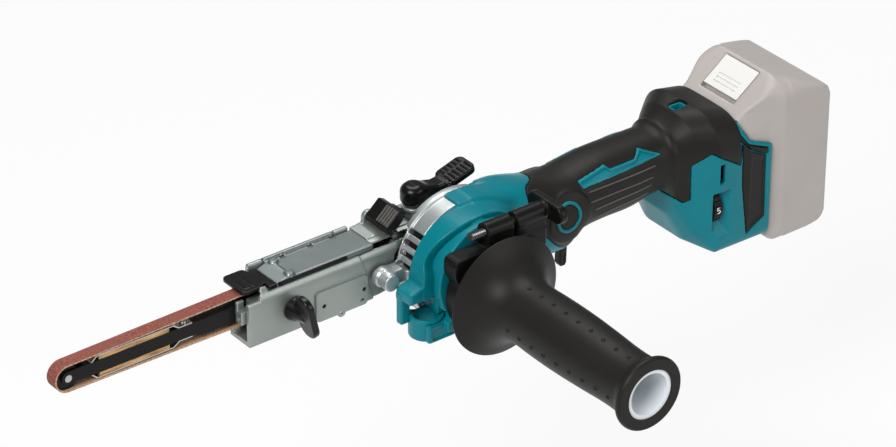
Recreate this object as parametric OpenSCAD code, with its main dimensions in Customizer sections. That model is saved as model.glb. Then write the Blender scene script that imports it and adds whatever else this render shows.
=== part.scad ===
// Cordless belt file: a narrow abrasive belt on a swinging arm, a cross-mounted motor,
// a side handle on a clamp ring, a straight main handle and a slide-on battery.
// Sizes are in millimetres. +X runs from the belt tip to the battery, +Z is up and the
// side handle points to -Y. Every piece is drawn about the motor axis, which lies along Y,
// and is then moved so that the origin is under the middle of the whole tool.

/* [Belt and arm] */
// Length of the abrasive belt loop
belt_length = 533; // [531:1:535]
// Width of the abrasive belt
belt_w = 9; // [8.8:0.1:9.2]
// Thickness of the abrasive belt
belt_t = 1; // [0.8:0.1:1.2]
// Radius of the tip roller
roller_r = 8; // [7.9:0.1:8.2]
// Radius of the drive pulley
drive_r = 11; // [10.6:0.1:11.4]
// Distance from the motor axis forward to the tip roller
tip_reach = 262.5; // [261:0.5:264]
// Sideways place of the belt's middle line
arm_y = 12.5; // [12.2:0.1:12.8]
// Height of the belt's middle line above the motor axis
arm_z = 11; // [10.6:0.1:11.4]
// Travel of the arm holder when the belt is slackened
arm_travel = 6; // [4:0.5:8]

/* [Head] */
// Radius of the slotted drive case
drum_r = 41; // [40:0.5:42]
// Number of air slots in the drive case
slot_count = 4; // [3:1:5]
// Radius of the collar that carries the side handle
collar_r = 27; // [26.6:0.1:27.2]
// Radius of the bore of the dust port
port_r = 6.5; // [5.5:0.5:6.5]

/* [Side handle] */
// Distance from the tool's middle plane to the free end of the side handle
grip_end = 193.5; // [190:0.5:196]
// Radius of the guard disc
guard_r = 39; // [38:0.5:40]
// Radius of the grip at its thickest
grip_r = 20.5; // [20:0.5:21]
// Outer radius of the inner tube
tube_r = 16; // [15.5:0.1:16.4]

/* [Handle and battery] */
// Half width of the rear base
base_half_w = 38; // [37.5:0.5:39]
// Thickness of the moulded shells
shell_t = 2.5; // [2:0.1:3]
// Thickness of the soft layer on the handle
soft_t = 2; // [1.5:0.1:2.2]
// Width of the battery
battery_w = 75; // [74:0.5:76]
// Distance from the motor axis back to the battery's rear face
battery_back = 278; // [276:0.5:280]
// Distance from the motor axis down to the battery's lower face
battery_low = 63; // [62:0.5:64]
// Upward travel that takes the battery off its rails
battery_travel = 100; // [60:5:120]

/* [Hidden] */
$fn = 48;
eps = 0.05;
play = 0.4;
fit = 0.05;
teal = [0.0, 0.47, 0.52];
charcoal = [0.21, 0.20, 0.19];
black = [0.09, 0.09, 0.09];
cast = [0.68, 0.70, 0.69];
steel = [0.75, 0.76, 0.77];
pale = [0.68, 0.65, 0.63];
copper = [0.72, 0.42, 0.25];

// The belt runs on its tip roller and drive pulley, whose distance follows from its length
tip_x = -tip_reach;
tip_mean_r = roller_r + belt_t / 2;
drive_mean_r = drive_r + belt_t / 2;
straight = (belt_length - PI * (tip_mean_r + drive_mean_r)) / 2;
centre_d = straight - pow(drive_mean_r - tip_mean_r, 2) / (2 * straight);
pivot_x = tip_x + centre_d;
pivot_z = arm_z;
lean = asin((drive_r - roller_r) / centre_d);

// Arm housing
house_y0 = arm_y - 14.5;
house_y1 = arm_y + 14.5;
house_wall = 3.5;
house_front = -144;
house_low = -10;
house_top = 26;
house_end_r = 17.5;
lid_y0 = house_y0 + 3;
tab_y0 = house_y0 + 7;
lid_z0 = 22.5;
lid_x0 = -128;
lid_x1 = -52;
hinge_y = house_y1 - 1.6;
hinge_z = house_top - 0.4;
hinge_r = 2.2;
knob_x = -112;
knob_z = 6;

// Head
drum_x = 3;
drum_z = 4;
drum_y0 = -16;
drum_y1 = -2.6;
drum_wall = 3;
head_near = -38;
collar_end = -54;

// Where the head's neck meets the handle, with the half width, half height and middle height there
neck_x = 63;
neck_ring = [neck_x, 23.6, 27.6, 4.4, 0];

// Origin under the middle of the tool's box
box_mid_x = (tip_x - roller_r - belt_t + battery_back) / 2;
box_mid_y = (base_half_w + 0.5 - grip_end) / 2;

// Extrusions of a drawing along one axis, between two places on it
module along_x(x0, x1) { translate([x0, 0, 0]) rotate([90, 0, 90]) linear_extrude(x1 - x0) children(); }
module along_y(y0, y1) { translate([0, y1, 0]) rotate([90, 0, 0]) linear_extrude(y1 - y0) children(); }
module along_z(z0, z1) { translate([0, 0, z0]) linear_extrude(z1 - z0) children(); }
module rod_x(y, z, x0, x1, r) { translate([x0, y, z]) rotate([0, 90, 0]) cylinder(h = x1 - x0, r = r); }
module rod_y(x, z, y0, y1, r) { translate([x, y0, z]) rotate([-90, 0, 0]) cylinder(h = y1 - y0, r = r); }
module rod_z(x, y, z0, z1, r) { translate([x, y, z0]) cylinder(h = z1 - z0, r = r); }
module box(low, high) { translate(low) cube(high - low); }
module dot(x, y, r) { translate([x, y]) circle(r = r); }

function arc(cx, cy, r, a0, a1, n) =
    [for (i = [0:n]) let (a = a0 + (a1 - a0) * i / n) [cx + r * cos(a), cy + r * sin(a)]];

// Rounded rectangle between two corners, drawn flat
module round_rect(low, high, r) {
    translate(low + [r, 0]) square(high - low - [2 * r, 0]);
    translate(low + [0, r]) square(high - low - [0, 2 * r]);
    for (x = [low[0] + r, high[0] - r], y = [low[1] + r, high[1] - r]) dot(x, y, r);
}

// Rings of a skin that is drawn along X: place, half width, half height, middle height, lean
ring_sides = 32;
function power(c, p) = sign(c) * pow(abs(c), 2 / p);
function ring(r, grow, p) =
    [for (i = [0:ring_sides - 1])
        let (a = 360 * i / ring_sides,
             y = (r[1] + grow) * power(cos(a), p),
             z = (r[2] + grow) * power(sin(a), p))
        [r[0] - r[4] * z, y, r[3] + z]];
module loft(rings, grow = 0, p = 2.3) {
    n = ring_sides;
    m = len(rings);
    points = [for (r = rings) each ring(r, grow, p)];
    sides = [for (j = [0:m - 2], i = [0:n - 1])
        let (a = j * n + i, b = j * n + (i + 1) % n)
        each [[a, a + n, b + n], [a, b + n, b]]];
    front = [for (i = [0:n - 1]) i];
    rear = [for (i = [n - 1:-1:0]) (m - 1) * n + i];
    polyhedron(points = points, faces = concat([front], sides, [rear]));
}

// Belt loop at a distance outside the pulleys
function belt_loop(out) = concat(
    arc(tip_x, arm_z, roller_r + out, 90 + lean, 270 - lean, 24),
    arc(pivot_x, pivot_z, drive_r + out, -90 - lean, 90 + lean, 32));

module abrasive_belt() {
    color([0.55, 0.29, 0.25])
    along_y(arm_y - belt_w / 2, arm_y + belt_w / 2) difference() {
        polygon(belt_loop(belt_t));
        polygon(belt_loop(0));
    }
}

// Belt arm: a bar with a forked tip and a deeper tail that enters the holder
bar_half = 4.1;
cheek_t = 1.2;
bar_top = 4.2;
bar_tail_x = -176.5;
bar_end_x = -100;
fork_half = bar_half - cheek_t;
shoe_x0 = -243;
shoe_x1 = -190;
screw_x = shoe_x1 + 9;

module belt_arm() {
    color(black) difference() {
        along_y(arm_y - bar_half, arm_y + bar_half) {
            polygon(concat(arc(tip_x, arm_z, bar_top, 90, 270, 16),
                [[bar_tail_x, arm_z - bar_top], [bar_tail_x + 6, arm_z - 6.2],
                 [bar_end_x, arm_z - 6.2], [bar_end_x, arm_z + bar_top]]));
        }
        box([tip_x - 6, arm_y - fork_half, arm_z - 9], [tip_x + 11, arm_y + fork_half, arm_z + 9]);
        rod_y(tip_x, arm_z, arm_y - 5, arm_y + 5, 1.5);
        rod_z(screw_x, arm_y, arm_z - 5, arm_z + 5, 1.2);
    }
}

module tip_roller() {
    color(black) difference() {
        rod_y(tip_x, arm_z, arm_y - fork_half + 0.3, arm_y + fork_half - 0.3, roller_r - 0.15);
        rod_y(tip_x, arm_z, arm_y - 5, arm_y + 5, 1.5 + fit);
    }
}

module tip_pin() {
    color(steel) {
        rod_y(tip_x, arm_z, arm_y - bar_half, arm_y + bar_half, 1.5);
        rod_y(tip_x, arm_z, arm_y - bar_half - 0.4, arm_y - bar_half, 2.3);
    }
}

// Spring steel backing leaf with bent ends, drawn above the bar; the lower one is its mirror image
leaf_t = 0.7;
leaf_top = 7.7;
module leaf() {
    along_y(arm_y - 4, arm_y + 4) polygon([
        [shoe_x0 - 4, bar_top], [shoe_x0, leaf_top], [shoe_x1, leaf_top],
        [shoe_x1 + 4, bar_top + leaf_t], [shoe_x1 + 13, bar_top + leaf_t], [shoe_x1 + 13, bar_top],
        [shoe_x1 + 3.6, bar_top], [shoe_x1 - 0.4, leaf_top - leaf_t],
        [shoe_x0 + 0.4, leaf_top - leaf_t], [shoe_x0 - 2.8, bar_top]]);
}
module leaf_pad() {
    box([shoe_x0 + 2, arm_y - 3.8, bar_top], [shoe_x1 - 3, arm_y + 3.8, leaf_top - leaf_t]);
}
module about_arm(side) { translate([0, 0, arm_z]) mirror([0, 0, side]) children(); }
module leaf_hole() { rod_z(screw_x, arm_y, bar_top - 1, leaf_top, 1.2); }

module upper_shoe() { color(steel) about_arm(0) difference() { leaf(); leaf_hole(); } }
module lower_shoe() { color(steel) about_arm(1) difference() { leaf(); leaf_hole(); } }
module upper_pad() { color([0.73, 0.55, 0.35]) about_arm(0) leaf_pad(); }
module lower_pad() { color([0.73, 0.55, 0.35]) about_arm(1) leaf_pad(); }
module shoe_screws() {
    color(steel) for (side = [0, 1]) about_arm(side) {
        rod_z(screw_x, arm_y, bar_top - 3, bar_top + leaf_t, 1.2);
        rod_z(screw_x, arm_y, bar_top + leaf_t, bar_top + leaf_t + 1.3, 2.4);
    }
}

// Holder block that grips the arm's tail and slides between the housing's side walls
holder_x0 = -139;
holder_x1 = -96;
holder_z0 = arm_z - 7;
holder_z1 = arm_z + 6.6;
module arm_holder() {
    color(cast) difference() {
        box([holder_x0, house_y0 + house_wall + play, holder_z0],
            [holder_x1, house_y1 - house_wall - play, holder_z1]);
        box([holder_x0 - 1, arm_y - bar_half, arm_z - 6.2], [bar_end_x, arm_y + bar_half, arm_z + bar_top]);
        box([holder_x0 - 1, arm_y - bar_half, arm_z], [holder_x0 + 22, arm_y + bar_half, holder_z1 + 1]);
        rod_y(knob_x, knob_z, house_y0, arm_y - bar_half + eps, 2.5);
    }
}

// Compression spring behind the holder, swept along a helix
spring_r = 4.2;
spring_wire = 1.2;
spring_turns = 8;
spring_x0 = holder_x1;
spring_x1 = -74;
spring_rings = spring_turns * 8;
function helix(i) =
    let (a = 360 * spring_turns * i / spring_rings,
         run = spring_x1 - spring_x0 - spring_wire,
         x = spring_x0 + spring_wire / 2 + run * i / spring_rings)
    [for (k = [0:5]) let (b = 60 * k, q = spring_r + spring_wire / 2 * cos(b))
        [x + spring_wire / 2 * sin(b), arm_y + q * cos(a), arm_z + q * sin(a)]];
module tension_spring() {
    n = 6;
    m = spring_rings + 1;
    points = [for (i = [0:spring_rings]) each helix(i)];
    sides = [for (j = [0:m - 2], i = [0:n - 1])
        let (a = j * n + i, b = j * n + (i + 1) % n)
        each [[a, b + n, a + n], [a, b, b + n]]];
    front = [for (i = [n - 1:-1:0]) i];
    rear = [for (i = [0:n - 1]) (m - 1) * n + i];
    color(steel) polyhedron(points = points, faces = concat([front], sides, [rear]));
}

// Cast arm housing: a tunnel open at the front, with a round rear end about the swing axis
function house_outline() = concat(
    [[house_front, house_low], [house_front, 18.5], [-136, 18.5], [-132, house_top], [-62, house_top]],
    arc(pivot_x, pivot_z, house_end_r, 90, -90, 28),
    [[-49, house_low]]);
module arm_housing() {
    y0 = house_y0 + house_wall;
    y1 = house_y1 - house_wall;
    mid = lid_x1 - 8;
    color(cast) difference() {
        union() {
            along_y(house_y0, house_y1) polygon(house_outline());
            for (y = [house_y0, arm_y + lever_half - eps]) {
                rod_y(lever_x, lever_z, y, y + 3.5, 4.2);
                box([lever_x - 4.2, y, 20], [lever_x + 4.2, y + 3.5, lever_z]);
            }
            for (x = [lid_x0 + 2, lid_x1 - 12]) {
                rod_x(hinge_y, hinge_z, x, x + 10, hinge_r);
                box([x, hinge_y - 1.6, lid_z0 - 1], [x + 10, house_y1, hinge_z]);
            }
        }
        box([house_front - 1, y0, house_low + 3], [mid, y1, lid_z0]);
        rod_y(pivot_x, pivot_z, y0, y1, 13.4);
        box([mid - 1, y0, pivot_z - 13], [pivot_x, y1, pivot_z + 13]);
        box([lid_x0 - play, lid_y0 - play, lid_z0 - eps], [lid_x1 + play, hinge_y - 1.6, house_top + 6]);
        box([lid_x0 - play, hinge_y - 2, lid_z0 - eps], [lid_x0 + 1.6, house_y1 + 1, house_top + 6]);
        box([lid_x0 + 12.4, hinge_y - 2, lid_z0 - eps], [lid_x1 - 12.4, house_y1 + 1, house_top + 6]);
        box([lid_x1 - 1.6, hinge_y - 2, lid_z0 - eps], [lid_x1 + play, house_y1 + 1, house_top + 6]);
        box([house_front - 1, tab_y0 - play, 19.5], [lid_x0, house_y1 + 1, house_top + 6]);
        along_x(house_front - 1, lever_x - 6) near_shoulder();
        rod_y(pivot_x, pivot_z, house_y0 - 1, house_y1 + 1, 10);
        rod_x(hinge_y, hinge_z, lid_x0, lid_x1, 1 + fit);
        box([knob_x - 3.2, house_y0 - 1, knob_z - 3.2], [knob_x + arm_travel + 3.2, y0 + 1, knob_z + 3.2]);
        rod_y(lever_x, lever_z, house_y0 - 1, house_y1 + 1, 1.5);
        box([lever_x - 6, arm_y - lever_half - play, lever_floor],
            [pivot_x + 12, arm_y + lever_half + play, 40]);
        along_z(-20, 40) polygon([[house_front - 1, arm_y - 1], [house_front - 1, house_y1 + 1],
            [lid_x0 - 1, house_y1 + 1]]);
        for (p = plate_holes) rod_y(p[0], p[1], house_y0 - 1, y0 + 1, plate_hole_r);
    }
    color(cast) box([spring_x1, y0 - 0.5, arm_z - 5.5], [spring_x1 + 4, y1 + 0.5, arm_z + 5.5]);
}

// What the round shoulder along the housing's near upper edge leaves out, in an end view
shoulder_r = 10;
shoulder_z = 16;
module near_shoulder() {
    polygon(concat([[house_y0 - 1, shoulder_z]],
        arc(house_y0 + shoulder_r, shoulder_z, shoulder_r, 180, 134, 8),
        [[lid_y0, house_top + 2], [house_y0 - 1, house_top + 2]]));
}

// Lid over the belt, hinged along its far edge, with a raised front rib
module housing_lid() {
    color(cast) difference() {
        union() {
            box([lid_x0, lid_y0, lid_z0], [lid_x1, hinge_y - 2.4, house_top]);
            box([lid_x0 + 12.8, hinge_y - 2.6, lid_z0 + 1], [lid_x1 - 12.8, hinge_y, hinge_z + 1]);
            rod_x(hinge_y, hinge_z, lid_x0 + 12.8, lid_x1 - 12.8, hinge_r);
            box([-113, lid_y0, house_top - 1], [-109, hinge_y - 2.4, house_top + 1.5]);
            for (y = [lid_y0 + 3, hinge_y - 5.4]) rod_z(-109, y, house_top - 1, house_top + 1.5, 3);
        }
        rod_x(hinge_y, hinge_z, lid_x0, lid_x1, 1 + fit);
        box([lid_x0 + 6, lid_y0 + 3, lid_z0 - 1], [lid_x1 + 1, hinge_y - 5, house_top - 1.6]);
    }
}
module lid_hinge_pin() { color(steel) rod_x(hinge_y, hinge_z, lid_x0 + 2, lid_x1 - 2, 1); }

// Thumb tab at the front of the lid
module lid_tab() {
    color(black) {
        along_z(lid_z0 - 0.1, lid_z0 + 2.3) round_rect([-143.5, tab_y0], [lid_x0, house_y1], 3);
        for (y = [tab_y0 + 7, tab_y0 + 14]) box([-140, y, lid_z0 + 2.2], [-131, y + 1, lid_z0 + 2.9]);
    }
}

// Wing knob that clamps the arm holder through the slot in the near wall
knob_y = house_y0 - play;
knob_wing_t = 4.5;
module wing_knob() {
    color(black) difference() {
        union() {
            translate([knob_x, knob_y, knob_z]) rotate([90, 0, 0]) cylinder(h = 12, r1 = 8, r2 = 3.6);
            along_x(knob_x - knob_wing_t / 2, knob_x + knob_wing_t / 2) translate([knob_y, knob_z])
                round_rect([-17, -14], [-6, 14], 5);
        }
        rod_y(knob_x, knob_z, knob_y - 10, knob_y + 1, 2.5);
    }
}
module wing_knob_screw() {
    color(steel) rod_y(knob_x, knob_z, knob_y - 10, arm_y - bar_half - 0.5, 2.5 - fit);
}

// Cover plate on the housing's near side, with its screws
plate_x0 = -97;
plate_x1 = -59.6;
plate_holes = [[-91.4, -0.2], [-62, 0.6]];
plate_hole_r = 0.9;
plate_head_r = 1.4;
plate_head_sunk = 0.4;
plate_head_t = 0.6;
plate_y = house_y0 - 1.3;
module side_plate() {
    color(cast) difference() {
        along_y(plate_y, house_y0) {
            round_rect([plate_x0, house_low], [plate_x1, 10], 2.5);
            dot(-78.8, house_low + 0.6, 3);
        }
        for (p = plate_holes) {
            rod_y(p[0], p[1], plate_y - 1, house_y0 + 1, plate_hole_r);
            rod_y(p[0], p[1], plate_y - 1, plate_y + plate_head_sunk + plate_head_t, plate_head_r);
        }
        rod_y(-78.8, house_low + 0.6, plate_y - 1, house_y0 + eps, 1);
        along_y(plate_y - 1, house_y0 + eps) round_rect([-65, -7], [-62, -5.4], 0.5);
    }
}
module side_plate_screws() {
    color(steel) for (p = plate_holes) {
        rod_y(p[0], p[1], plate_y + plate_head_sunk, house_y0 + house_wall, plate_hole_r);
        rod_y(p[0], p[1], plate_y + plate_head_sunk, plate_y + plate_head_sunk + plate_head_t, plate_head_r);
    }
}

// Ribbed tension lever on two ears over the rear of the housing
lever_x = -38;
lever_z = 29;
lever_half = 11;
lever_floor = 26;
lever_pivot_r = 2.7;
rib_count = 6;
rib_pitch = 3.4;
module tension_lever() {
    color(black) difference() {
        union() {
            along_y(arm_y - lever_half, arm_y + lever_half) translate([lever_x, lever_z]) polygon([
                [-2.7, 0], [-3, 3], [6.5, 11.5], [10.5, 9.5], [8, 5], [2.7, 0]]);
            rod_y(lever_x, lever_z, arm_y - lever_half, arm_y + lever_half, lever_pivot_r);
            for (i = [0:rib_count - 1]) {
                y = arm_y - lever_half + 1.5 + i * rib_pitch;
                along_y(y, y + 1.7) translate([lever_x, lever_z]) polygon([
                    [-2.4, 3], [-3, 4.2], [5.4, 11.7], [6.6, 11.2]]);
            }
        }
        rod_y(lever_x, lever_z, arm_y - 20, arm_y + 20, 1.5 + fit);
    }
}
module tension_lever_pin() {
    color(steel) rod_y(lever_x, lever_z, house_y0 + 0.5, arm_y + lever_half + 3, 1.5);
}

// Drive pulley on its shaft, turned by a toothed belt from the motor shaft
shaft_r = 4;
shaft_y0 = -14.5;
shaft_y1 = house_y1 + 4.5;
tooth_y0 = -14;
tooth_y1 = -8.5;
small_r = 4.8;
small_t = 1.1;
motor_shaft_r = 3;
module drive_pulley() {
    color(steel) difference() {
        union() {
            rod_y(pivot_x, pivot_z, arm_y - belt_w / 2 - 0.5, arm_y + belt_w / 2 + 0.5, drive_r - 0.15);
            rod_y(pivot_x, pivot_z, house_y0 + 1, arm_y, 7);
        }
        rod_y(pivot_x, pivot_z, -20, 40, shaft_r);
        for (a = [0:60:300]) rod_y(pivot_x + 7.6 * cos(a), pivot_z + 7.6 * sin(a), arm_y, 20, 1.6);
    }
}
module drive_shaft() { color(steel) rod_y(pivot_x, pivot_z, shaft_y0, shaft_y1 - 1, shaft_r); }
module ball_bearing(x, z, y0, y1, r_in, r_out) {
    difference() {
        rod_y(x, z, y0, y1, r_out);
        rod_y(x, z, y0 - 1, y1 + 1, r_in);
        difference() {
            rod_y(x, z, y1 - 0.6, y1 + 1, r_out - 1.2);
            rod_y(x, z, y1 - 1, y1 + 2, r_in + 1.2);
        }
    }
}
bearing_r = 7;
module shaft_bearings() {
    color(steel) {
        ball_bearing(pivot_x, pivot_z, drum_y1 - 4.4, drum_y1, shaft_r + fit, bearing_r);
        ball_bearing(pivot_x, pivot_z, house_y1 + 0.6, house_y1 + 4, shaft_r + fit, bearing_r);
    }
}
function small_loop(out) =
    let (turn = atan2(pivot_z, pivot_x))
    concat(arc(0, 0, small_r + out, turn + 90, turn + 270, 24),
           arc(pivot_x, pivot_z, small_r + out, turn - 90, turn + 90, 24));
module toothed_belt() {
    color(black) along_y(tooth_y0 + 0.5, tooth_y1 - 0.5) difference() {
        polygon(small_loop(small_t));
        polygon(small_loop(0));
    }
}
module small_pulley(x, z, bore) {
    difference() {
        rod_y(x, z, tooth_y0, tooth_y1, small_r - 0.15);
        rod_y(x, z, tooth_y0 - 1, tooth_y1 + 1, bore);
    }
}
module motor_pulley() { color(steel) small_pulley(0, 0, motor_shaft_r); }
module shaft_pulley() { color(steel) small_pulley(pivot_x, pivot_z, shaft_r); }

// Cast drive case: slotted drum, end wall with bearing seats, and the rear half of the arm's fork
fork_x0 = pivot_x + house_end_r + 1.2;
fork_x1 = 27;
plate_y0 = house_y1 + 0.6;
lug_x = -50.5;
lug_z = 6;
module drive_case() {
    slot_step = 10;
    slot_a0 = 141;
    color(cast) difference() {
        union() {
            rod_y(drum_x, drum_z, drum_y0, drum_y1, drum_r);
            rod_y(drum_x, drum_z, drum_y1 - 1, drum_y1 + 2, drum_r - 2.5);
            rod_y(lug_x, lug_z, -8, drum_y1, 6.3);
            rod_y(lug_x, lug_z, drum_y0 + eps, -7, 5.3);
            box([lug_x, -12, 1.5], [-30, drum_y1, 11]);
            rod_y(pivot_x, pivot_z, drum_y1 - 5, drum_y1, bearing_r + 2.5);
            along_y(drum_y1 - 1, plate_y0) fork_outline();
            rod_z(lever_bolt_x, lever_bolt_y, fork_top + 0.05, lever_seat, 6.5);
            rod_z(lever_bolt_x, lever_bolt_y, 14, lever_seat, 3.55);
        }
        difference() {
            rod_y(drum_x, drum_z, drum_y0 - 1, drum_y1 - 4, drum_r - drum_wall);
            rod_y(pivot_x, pivot_z, drum_y1 - 5, drum_y1, bearing_r + 2.5);
        }
        rod_y(pivot_x, pivot_z, drum_y1 - 0.1, drum_y1 + 3, house_end_r + 2);
        along_y(drum_y1, drum_y1 + 3) polygon([[pivot_x, -40], [pivot_x + 14, -40],
            [pivot_x + house_end_r + 2, pivot_z], [pivot_x, 60], [-60, 60], [-60, -40]]);
        rod_y(pivot_x, pivot_z, drum_y1 - 4.4, drum_y1 + 1, bearing_r);
        rod_y(pivot_x, pivot_z, -13, drum_y1, 5);
        rod_y(0, 0, -8, 12, motor_bearing_r);
        rod_z(lever_bolt_x, lever_bolt_y, 10, 34, 2.5);
        rod_y(pivot_x, pivot_z, drum_y1 + 2, plate_y0 + 1, house_end_r + 0.6);
        drum_corner(0);
        for (i = [0:slot_count - 1]) {
            translate([drum_x, 0, drum_z]) rotate([0, -(slot_a0 + i * slot_step), 0])
                box([drum_r - 7, drum_y0 + 1, -1.8], [drum_r + 2, drum_y1 - 2, 1.8]);
        }
        for (p = fork_holes) rod_y(p[0], p[1], plate_y0 - 12, plate_y0 + 1, 1.6);
    }
}
fork_holes = [[2, 17], [20, 17], [2, -16], [20, -16]];
fork_top = 24;
fork_low = -22;
module fork_outline() { round_rect([fork_x0, fork_low], [fork_x1, fork_top], 4); }

// Upper rear corner of the drum, where the motor housing's hood takes over from the casting
hood_t = 5;
module drum_corner(gap) {
    difference() {
        box([8 + gap, drum_y0 - 1, 8 + gap], [drum_x + drum_r + 4, drum_y1 + 9, drum_z + drum_r + 4]);
        rod_y(drum_x, drum_z, drum_y0 - 2, drum_y1 + 10, drum_r - hood_t + gap);
    }
}

// Outer plate that carries the far end of the drive shaft
function plate_outline() = concat(
    arc(fork_x1 - 4, fork_top - 4, 4, 0, 90, 6),
    arc(pivot_x, pivot_z, 15, 60, 230, 24),
    [[fork_x0 - 2, fork_low]],
    arc(fork_x1 - 4, fork_low + 4, 4, 270, 360, 6));
module bearing_plate() {
    color(cast) difference() {
        along_y(plate_y0, plate_y0 + 4) polygon(plate_outline());
        rod_y(pivot_x, pivot_z, plate_y0 - 1, plate_y0 + 3.4, bearing_r);
        for (p = fork_holes) rod_y(p[0], p[1], plate_y0 - 1, plate_y0 + 5, 1.6);
    }
}
module bearing_plate_screws() {
    color(steel) for (p = fork_holes) {
        rod_y(p[0], p[1], plate_y0 - 10, plate_y0 + 4, 1.6);
        rod_y(p[0], p[1], plate_y0 + 4, plate_y0 + 6, 3);
    }
}

// Lock lever with a ribbed thumb pad, on the bolt that locks the arm's swing
lever_bolt_x = -5;
lever_bolt_y = 24;
lever_seat = 25.6;
pad_rise = 17;
module lock_lever() {
    color(black) difference() {
        union() {
            rod_z(lever_bolt_x, lever_bolt_y, lever_seat + play, 40, 6.3);
            along_y(lever_bolt_y - 4.5, lever_bolt_y + 4.5) polygon([
                [lever_bolt_x + 3, 31], [lever_bolt_x + 3, 38], [4, 36.5], [12, 34.5],
                [24, 36.4], [24, 34.6], [12, 29.5], [4, 29]]);
            translate([17, lever_bolt_y, 31.5]) rotate([0, -pad_rise, 0]) lever_pad();
        }
        rod_z(lever_bolt_x, lever_bolt_y, 20, 36, 2.5 + fit);
    }
}
module lever_pad() {
    along_z(0, 4.5) round_rect([0, -8.5], [22, 8.5], 4);
    for (i = [0:5], side = [-7, 0.6]) {
        x = 2.7 + i * 3;
        box([x, side, 4], [x + 1.6, side + 6.4, 5.6]);
    }
}
module lock_bolt() { color(steel) rod_z(lever_bolt_x, lever_bolt_y, 10.5, 35.6, 2.5); }

// Motor housing: arched shell with a collar for the side handle, a neck to the main handle and a foot
neck_rings = [
    [16, 21, 33, 6, 0], [40, 22, 33.2, 6, 0], [52, 23, 30.5, 5.4, 0], neck_ring];
motor_bearing_r = 6.5;
arch_x = 1;
arch_z = 3;
band_r = 40.3;
module head_housing() {
    color(teal) difference() {
        union() {
            along_y(head_near, -26) arch_outline(arch_z + 3.3, 34.2);
            along_y(-28, drum_y0) arch_outline(arch_z, band_r);
            rod_y(0, 0, collar_end, head_near + 1, collar_r);
            intersection() {
                loft(neck_rings);
                box([10, -30, -40], [90, 30, 60]);
            }
            foot();
            intersection() {
                rod_y(drum_x, drum_z, drum_y0 - 2, drum_y1 + 8, drum_r);
                drum_corner(0.3);
            }
        }
        rod_y(0, 0, collar_end + 3, -24, stator_r + 0.1);
        rod_y(0, 0, -26, -15, fan_r + 0.6);
        rod_y(drum_x, drum_z, -25, drum_y0, 34);
        difference() {
            rod_y(drum_x, drum_z, drum_y0 - eps, drum_y1 + 60, drum_r + 0.05);
            drum_corner(0.3);
        }
        rod_y(0, 0, collar_end + 0.6, collar_end + 5, motor_bearing_r);
        box([fork_x0 - 1, drum_y1 - 2, -24], [fork_x1 + 0.3, 40, 29]);
        loft([[20, 17, 26, 5, 0], [42, 18, 26, 5, 0], [52, 19, 25, 5, 0], [neck_x + 2, 19, 23, 4.4, 0]]);
        rod_z(port_x, port_y, -50, port_top, port_r + port_wall);
        box([leg_x1, bar_near, port_top - 1], [-31.5, drum_y0 + 1, bar_low]);
    }
}
module arch_outline(z, r) {
    difference() {
        union() {
            dot(arch_x, z, r);
            translate([arch_x, z - r]) square([r, r]);
            translate([arch_x - r + 6, -26]) square([r, 24]);
        }
        translate([-60, -90]) square([120, 60]);
    }
}

// Foot of the motor housing: a bar with a leg in front, and a block beside the dust port
port_x = -32;
port_y = -24.3;
port_top = -16;
port_low = -31;
port_wall = 4.5;
bar_x0 = -48.5;
bar_low = -3.5;
bar_near = -31;
leg_x1 = -41.5;
leg_low = -21.5;
module foot() {
    along_y(bar_near, drum_y0) polygon([
        [bar_x0, bar_low], [bar_x0, 3.3], [-39.3, 6], [-30, 6], [-30, bar_low]]);
    box([bar_x0, drum_y0 - 5.5, leg_low], [leg_x1, drum_y0, bar_low + 1]);
    box([-39.4, -37, port_low], [-19, bar_near, -18.4]);
}

module dust_port() {
    color(teal) difference() {
        rod_z(port_x, port_y, port_low, port_top, port_r + port_wall);
        rod_z(port_x, port_y, port_low - 1, port_top + 1, port_r);
        box([port_x - 20, drum_y0 - 0.1, port_low - 1], [port_x + 20, 0, port_top + 1]);
    }
}

// Motor: laminated stator with coils, rotor on its shaft, fan and two bearings
stator_r = 23.4;
rotor_r = 11.5;
fan_r = 26;
module stator() {
    color(copper) difference() {
        rod_y(0, 0, -48, -28, stator_r);
        rod_y(0, 0, -49, -27, rotor_r + 0.5);
        for (a = [0:60:300]) rotate([0, a, 0]) box([rotor_r + 1.5, -49, -2.6], [stator_r - 3, -27, 2.6]);
    }
}
module rotor() {
    color(steel) difference() {
        rod_y(0, 0, -47, -29, rotor_r);
        rod_y(0, 0, -48, -28, motor_shaft_r);
    }
}
module motor_shaft() { color(steel) rod_y(0, 0, collar_end + 0.8, -3, motor_shaft_r); }
module cooling_fan() {
    color(black) difference() {
        union() {
            rod_y(0, 0, -23.5, -22, fan_r);
            rod_y(0, 0, -23.5, -15.5, 7);
            for (a = [0:30:330]) rotate([0, a, 0]) box([6, -22.5, -0.7], [fan_r - 1, -17, 0.7]);
        }
        rod_y(0, 0, -25, -12, motor_shaft_r);
    }
}
module motor_bearings() {
    color(steel) {
        ball_bearing(0, 0, collar_end + 0.6, collar_end + 5, motor_shaft_r + fit, motor_bearing_r);
        ball_bearing(0, 0, -7.5, drum_y1 - 0.6, motor_shaft_r + fit, motor_bearing_r);
    }
}

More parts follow.
